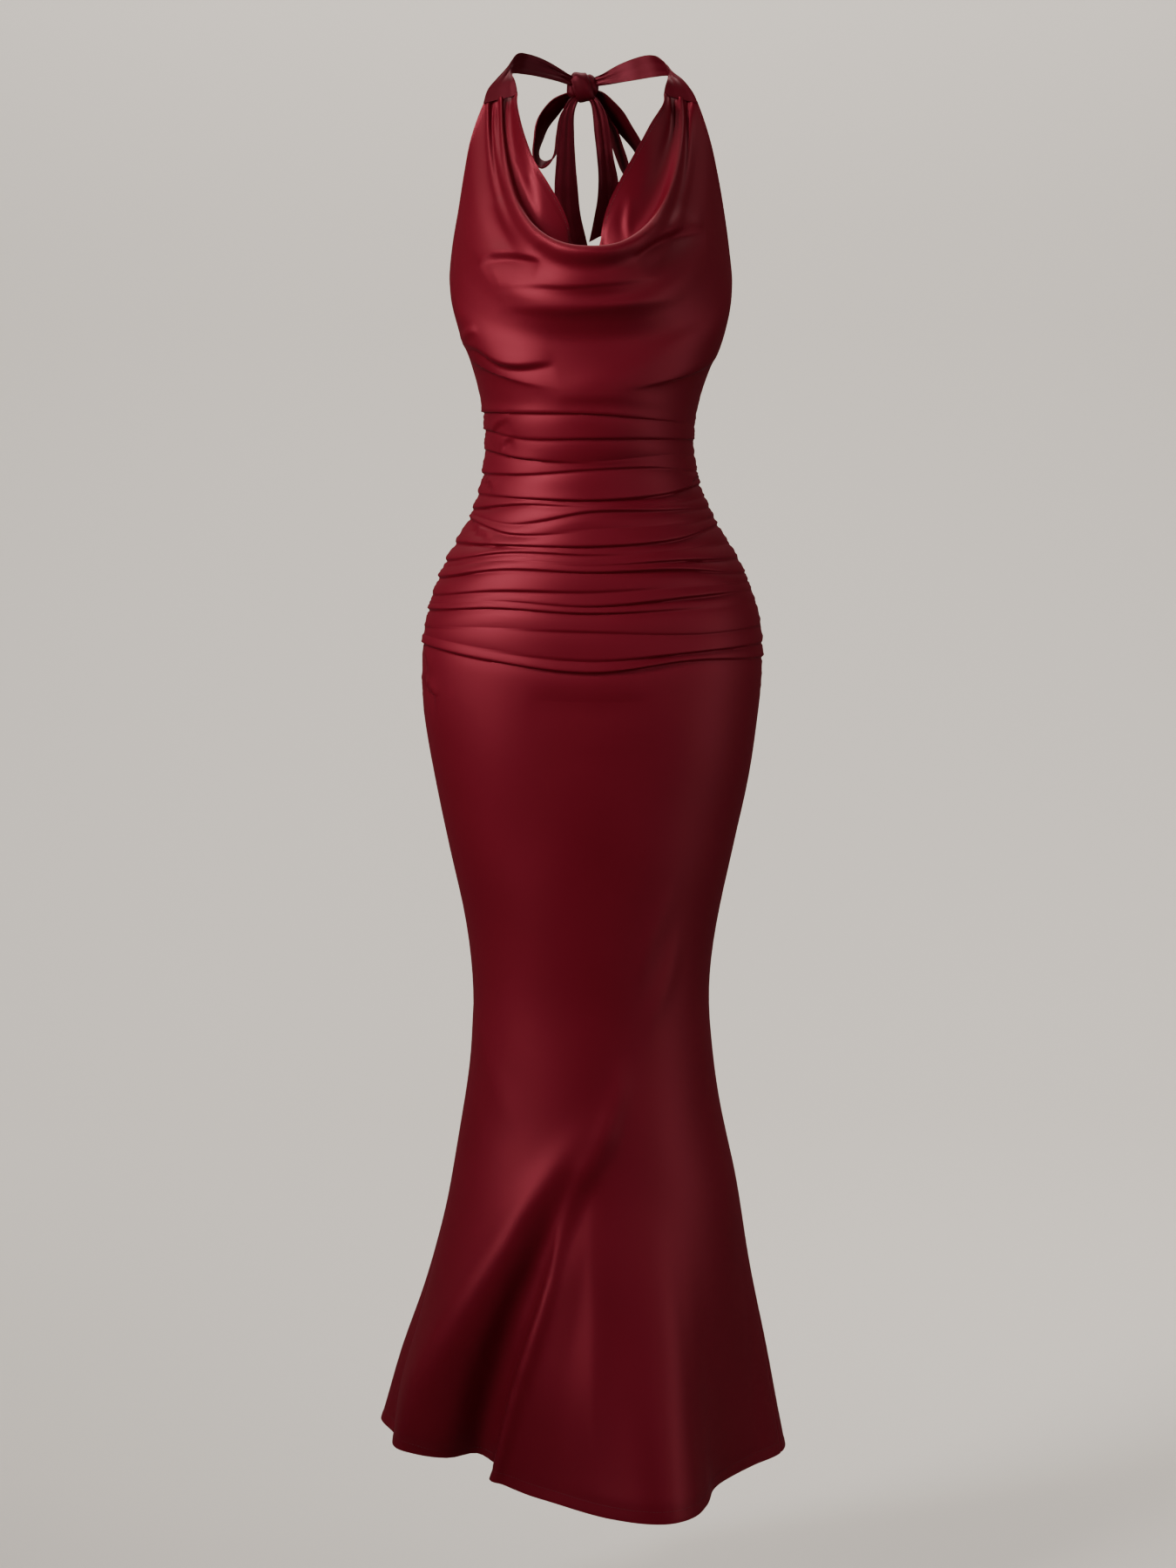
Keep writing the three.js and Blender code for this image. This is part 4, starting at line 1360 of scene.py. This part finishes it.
@dataclass
class BackPanel(Panel):
    """Back of the gown, from a low scooped edge to the hem."""

    uneven: tuple[Ripple, ...] = (Ripple(0.22, (5.3, 1.7)), Ripple(0.1, (14.0, 1.0)))
    middle_depth: float = 0.55
    middle_change: Ripple = Ripple(0.4, (1.9,), 0.7)

    def level_row(self, left: float, middle: float, right: float) -> np.ndarray:
        """Points of one row of the back.

        Args:
            left: Its height at the left seam.
            middle: Its height at the middle of the back.
            right: Its height at the right seam.

        Returns:
            Points from right to left, as seen from the front.
        """
        place = -self.places()
        bearing = np.where(place >= 0, 90 + (1 - place) * 90, -90 - (1 + place) * 90)
        sine = np.sin(place * np.pi / 2)
        height = (left + right) / 2 + sine * (right - left) / 2
        height = height + (middle - (left + right) / 2) * (1 - sine**2)
        return self.form.tube_points(bearing, self.form.skirt_height(height, bearing))

    def depth(self, number: int) -> np.ndarray:
        """Depth of one crease of the back: as at the front's seams, and its own between them.

        Args:
            number: Which crease, from the waist down.

        Returns:
            Its depth at each place across.
        """
        place = -self.places()
        ends = PLEATS[number][1]
        middle = self.middle_depth + float(self.middle_change.over(number))
        depths = (ends[0], (ends[0] + middle) / 2, middle, (ends[-1] + middle) / 2, ends[-1])
        depth = smooth_curve(STATIONS, depths, np.sin(place * np.pi / 2))
        return np.maximum(depth, 0.0) * (1 + ripple_sum(self.uneven, place, number))

    def build(self, material: bpy.types.Material, thread: bpy.types.Material) -> None:
        """Makes the panel and its stitches and sets them in the frame.

        Args:
            material: The satin.
            thread: The stitches' thread.
        """
        rows = [self.level_row(UNDERARM, UNDERARM - BACK_DIP, UNDERARM)]
        rows += [self.level_row(heights[0], back, heights[-1]) for heights, back in BELLY_ROWS]
        first_pleat = len(rows)
        rows += [self.level_row(heights[0], back, heights[-1]) for heights, _, back in PLEATS]
        rows += [self.level_row(height, height, height) for height in SKIRT_ROWS]
        grid = self.folded(self.refine(rows, first_pleat, ()))
        BACK_CUT.settle(cloth_sheet(self.name, grid), material)
        lines = [line_at(grid, TURNED_EDGE.width), self.hem_line(grid)]
        Stitching().build("stitches_back", lines, thread)


@dataclass
class Band:
    """A strip of the neck tie, a narrow turned tube of cloth with pressed edges.

    length is its length laid flat, in metres. Places across it are shares of its width.
    """

    node: str
    edges: tuple[np.ndarray, np.ndarray]
    length: float
    phase: float
    crease: float = 0.0
    crease_place: float = 0.48
    crease_width: float = 0.07
    across: int = 12
    thick: float = 1.5
    crown: float = 0.5
    press: float = 0.35
    press_place: float = 0.06
    press_width: float = 0.05
    ripple: float = 0.8
    slack: float = 1.2
    taut_width: float = 22.0
    least_ripple: float = 0.1
    bevel: float = 0.0005
    bevel_steps: int = 2

    @classmethod
    def tie(cls, node: str, table: Sequence[Sequence[float | str]], mirrored: bool,
            **rest: float) -> Band:
        """Makes a neck tie from the table of its two edges.

        Args:
            node: The solid that it dresses.
            table: The table.
            mirrored: Whether its outer edge is the right one.
            rest: Further sizes of the band.

        Returns:
            The band.
        """
        rows = Table.of(table).smoothed(BAND_STEPS).rows
        a, b = rows[:, :3], rows[:, 3:]
        return cls(node, (b, a) if mirrored else (a, b), **rest)

    @classmethod
    def bow(cls, node: str, table: Sequence[Sequence[float | str]], slant: float,
            **rest: float) -> Band:
        """Makes a loop or a tail from the table of its middle line.

        Args:
            node: The solid that it dresses.
            table: The table.
            slant: How much lower its last end is at the left corner.
            rest: Further sizes of the band.

        Returns:
            The band.
        """
        smooth = Table.of(table).smoothed(BAND_STEPS)
        turn = np.radians(smooth.column("turn"))
        tip = np.radians(smooth.column("tip"))
        half = np.stack([np.cos(turn) * np.cos(tip), np.sin(turn) * np.cos(tip), np.sin(tip)],
                        axis=-1)
        half *= smooth.column("half")[:, None]
        middle = smooth.rows[:, :3]
        a, b = middle - half, middle + half
        ends = ease((np.arange(len(turn)) - len(turn) + SLANT_STEPS) / SLANT_STEPS)
        a[:, 2] -= slant / 2 * ends
        b[:, 2] += slant / 2 * ends
        return cls(node, (a, b), **rest)

    def grid(self) -> np.ndarray:
        """Outer points of the band, with its lengthwise creases.

        Returns:
            Points, rows along the band by columns across it by 3.
        """
        a, b = self.edges
        t = np.linspace(0.0, 1.0, self.across + 1)
        flat = a[:, None, :] * (1 - t)[None, :, None] + b[:, None, :] * t[None, :, None]
        run = run_along(flat[:, self.across // 2])[:, None]
        width = np.linalg.norm(b - a, axis=1)[:, None]
        pressed = bell(t - self.press_place, self.press_width)
        pressed = pressed + bell(1 - t - self.press_place, self.press_width)
        lift = self.thick / 2 + self.crown * (1 - (2 * t - 1) ** 2) - self.press * pressed
        lift = lift - self.crease * bell(t - self.crease_place, self.crease_width)
        loose = np.clip(self.slack - width / self.taut_width, self.least_ripple, 1.0)
        ripples = (Ripple(1.0, (5.2 * np.pi, 0.03), self.phase), Ripple(0.5, (8.2 * np.pi, -0.05)))
        sways = (Ripple(0.35, (0.09,), self.phase), Ripple(0.25, (0.21,)))
        lift = lift + self.ripple * loose * ripple_sum(ripples, t[None, :], run)
        lift = lift + ripple_sum(sways, run)
        return flat + grid_normals(flat) * lift[..., None]

    def build(self, material: bpy.types.Material) -> None:
        """Makes the band and sets it in the frame.

        Args:
            material: The satin of the ties, darkened as painted shade.
        """
        obj = cloth_sheet(f"band_{self.node}", self.grid(), self.thick * MM)
        apply_modifier(obj, "BEVEL", width=self.bevel, segments=self.bevel_steps,
                       limit_method="ANGLE", angle_limit=math.radians(SOFT_EDGE))
        smooth_shade(obj, SOFT_EDGE)
        flat = (BAND_WIDTH, self.length)
        Cut(self.node, "satin_tie", flat, flat[0] * flat[1], ("knot",)).settle(obj, material)


@dataclass
class Knot:
    """The knot at the nape: a band wrapped once round the others, with its folds.

    centre and half sizes are in millimetres, the rest in shares of the half sizes.
    """

    centre: Point = (-8.5, 10.8, 1.0)
    half: Point = (18.5, 10.8, 15.5)
    square: float = 0.8
    body: float = 0.88
    wrap_rise: float = 0.10
    wrap_lean: float = 0.35
    wrap_half: float = 0.52
    wrap_edge: float = 0.22
    groove: float = 0.08
    groove_place: float = 0.06
    groove_width: float = 0.07
    folds: Ripple = Ripple(0.045, (8.5, 1.2), 0.6)
    end_folds: Ripple = Ripple(0.0225, (7.0, 2.0))
    sides: int = 96
    rings: int = 64

    def build(self, material: bpy.types.Material) -> None:
        """Makes the knot and sets it in the frame.

        Args:
            material: The satin of the ties, darkened as painted shade.
        """
        bpy.ops.object.select_all(action="DESELECT")
        bpy.ops.mesh.primitive_uv_sphere_add(segments=self.sides, ring_count=self.rings, radius=1)
        obj = new_object("knot_wrap")
        flat = np.empty(len(obj.data.vertices) * 3, dtype=np.float32)
        obj.data.vertices.foreach_get("co", flat)
        unit = flat.reshape(-1, 3).astype(float)
        x, _, z = unit.T
        lean = x + self.wrap_lean * z
        wrap = ease((self.wrap_half - np.abs(lean)) / self.wrap_edge + 0.5)
        grow = self.body + self.wrap_rise * wrap
        grow += self.folds.over(lean, z) * wrap + self.end_folds.over(z, x) * (1 - wrap)
        away = np.abs(lean) - self.wrap_half - self.groove_place
        grow -= self.groove * bell(away, self.groove_width)
        shape = np.sign(unit) * np.abs(unit) ** self.square
        points = shape * grow[:, None] * np.array(self.half) + np.array(self.centre)
        obj.data.vertices.foreach_set("co", (points * MM).astype(np.float32).ravel())
        obj.data.uv_layers[0].name = CUT_MAP
        obj.data.update()
        smooth_shade(obj, SOFT_EDGE)
        dress(obj, material, "knot")


@dataclass(frozen=True)
class SoftLight:
    """A soft rectangular light: place and size in metres, watts, aim and beam in degrees."""

    name: str
    at: Point
    size: tuple[float, float]
    power: float
    aim: Point = (0.0, -0.1, -0.7)
    spread: float = 180.0

    def build(self) -> None:
        """Adds the light, turned towards its aim."""
        away = np.array(self.at) - np.array(self.aim)
        flat = math.hypot(away[0], away[1])
        turn = (math.pi / 2 - math.atan2(away[2], flat), 0.0, math.atan2(away[0], -away[1]))
        bpy.ops.object.light_add(type="AREA", location=self.at, rotation=turn)
        lamp = bpy.context.view_layer.objects.active
        lamp.name = self.name
        lamp.data.shape = "RECTANGLE"
        lamp.data.size, lamp.data.size_y = self.size
        lamp.data.energy = self.power
        lamp.data.spread = math.radians(self.spread)


LIGHTS = (
    SoftLight("key", (-2.4, -2.1, 1.6), (0.9, 0.9), 8.4, (0.0, -0.1, -0.30), 42.0),
    SoftLight("side", (-2.7, -1.8, 0.2), (0.9, 1.6), 9.5, (0.0, -0.1, -0.38), 56.0),
    SoftLight("fill", (1.6, -3.2, 0.2), (1.6, 2.0), 4.2, (0.0, -0.1, -0.35), 90.0),
    SoftLight("flank", (2.9, -1.3, -0.5), (1.2, 2.4), 34.0),
    SoftLight("top", (-0.4, -1.2, 2.2), (1.6, 1.0), 3.0, (0.0, -0.1, -0.3), 120.0),
    SoftLight("wall", (0.0, 1.4, 2.8), (6.0, 1.5), 364.0, (0.0, 4.0, -0.5)),
)


@dataclass
class Studio:
    """Plain pale floor and wall, soft lights and the camera of the photograph, in metres."""

    focal_px: float = 3750.0
    frame_px: float = 1800.0
    sensor: float = 36.0
    camera_at: Point = (-0.0027, -3.385, -0.335)
    pitch: float = 6.3905
    sight: float = 60.0
    floor: float = -1.62
    half_width: float = 7.0
    near: float = -5.0
    bend: float = 2.6
    bend_radius: float = 1.6
    tall: float = 6.0
    floor_share: float = 0.4
    bend_share: float = 0.3
    columns: int = 4
    rows: int = 48
    air: Colour = (0.97, 0.96, 0.94)
    air_strength: float = 0.07

    def camera(self) -> None:
        """Adds the camera and makes it the scene's."""
        turn = (math.radians(90.0 - self.pitch), 0.0, 0.0)
        bpy.ops.object.camera_add(location=self.camera_at, rotation=turn)
        camera = bpy.context.view_layer.objects.active
        camera.name = "camera"
        camera.data.sensor_fit = "VERTICAL"
        camera.data.sensor_height = self.sensor
        camera.data.lens = self.focal_px / self.frame_px * self.sensor
        camera.data.clip_end = self.sight
        bpy.context.scene.camera = camera

    def paper_line(self, share: float) -> tuple[float, float]:
        """Point on the paper's section, from its near edge to its top.

        Args:
            share: Share of the way.

        Returns:
            Its y and its height.
        """
        wall_start = self.floor_share + self.bend_share
        if share < self.floor_share:
            return self.near + (self.bend - self.near) * share / self.floor_share, self.floor
        if share < wall_start:
            angle = (share - self.floor_share) / self.bend_share * math.pi / 2
            return (self.bend + self.bend_radius * math.sin(angle),
                    self.floor + self.bend_radius * (1 - math.cos(angle)))
        up = (share - wall_start) / (1 - wall_start)
        return (self.bend + self.bend_radius,
                self.floor + self.bend_radius + (self.tall - self.bend_radius) * up)

    def sweep(self) -> None:
        """Adds the floor, which rises in a curve into the wall behind."""
        bpy.ops.object.select_all(action="DESELECT")
        bpy.ops.mesh.primitive_grid_add(x_subdivisions=self.columns, y_subdivisions=self.rows, size=1)
        paper = new_object("paper_sweep")
        across = np.linspace(-self.half_width, self.half_width, self.columns + 1)
        points = [(x, *self.paper_line(j / self.rows)) for j in range(self.rows + 1) for x in across]
        paper.data.vertices.foreach_set("co", np.array(points, dtype=np.float32).ravel())
        paper.data.update()
        paper.data.materials.append(PAPER.build())
        paper.visible_glossy = False
        smooth_shade(paper, ROUND_EDGE)

    def world(self) -> None:
        """Adds the faint light of the pale surroundings."""
        world = bpy.data.worlds.new("studio")
        world.use_nodes = True
        ground = world.node_tree.nodes["Background"]
        ground.inputs["Color"].default_value = (*self.air, 1.0)
        ground.inputs["Strength"].default_value = self.air_strength
        bpy.context.scene.world = world

    def build(self) -> None:
        """Builds the whole studio."""
        self.camera()
        self.sweep()
        for light in LIGHTS:
            light.build()
        self.world()


@dataclass
class Gown:
    """The whole gown: two panels, the neck ties, the bow and its knot."""

    form: GownForm = field(default_factory=GownForm)

    def bands(self) -> list[Band]:
        """Sets out the strips of the neck tie and the bow.

        Returns:
            The ties, loops and tails.
        """
        return [
            Band.tie("tie_left", TIE_LEFT, False, length=0.150, phase=0.4),
            Band.tie("tie_right", TIE_RIGHT, True, length=0.150, phase=1.9),
            Band.bow("loop_left", LOOP_LEFT, 0.0, length=0.205, phase=0.9),
            Band.bow("loop_right", LOOP_RIGHT, 0.0, length=0.225, phase=2.6),
            Band.bow("tail_left", TAIL_LEFT, TAIL_SLANT, length=0.155, phase=0.2, crease=0.6),
            Band.bow("tail_right", TAIL_RIGHT, TAIL_SLANT, length=0.155, phase=1.4, crease=1.1),
        ]

    def build(self) -> None:
        """Builds and dresses every piece."""
        satin = SATIN.build()
        shaded_tie_satin = SHADED_TIE_SATIN.build()
        thread = THREAD.build()
        FrontPanel(self.form, "front_cloth", FRONT_FOLDS).build(satin, thread)
        BackPanel(self.form, "back_cloth", BACK_FOLDS).build(satin, thread)
        for band in self.bands():
            band.build(shaded_tie_satin)
        Knot().build(shaded_tie_satin)


def main() -> None:
    """Builds the studio and the gown in order."""
    logging.basicConfig(level=logging.INFO, format="%(message)s")
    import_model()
    bpy.ops.object.select_all(action="DESELECT")
    Studio().build()
    Gown().build()


if __name__ == "__main__":
    main()
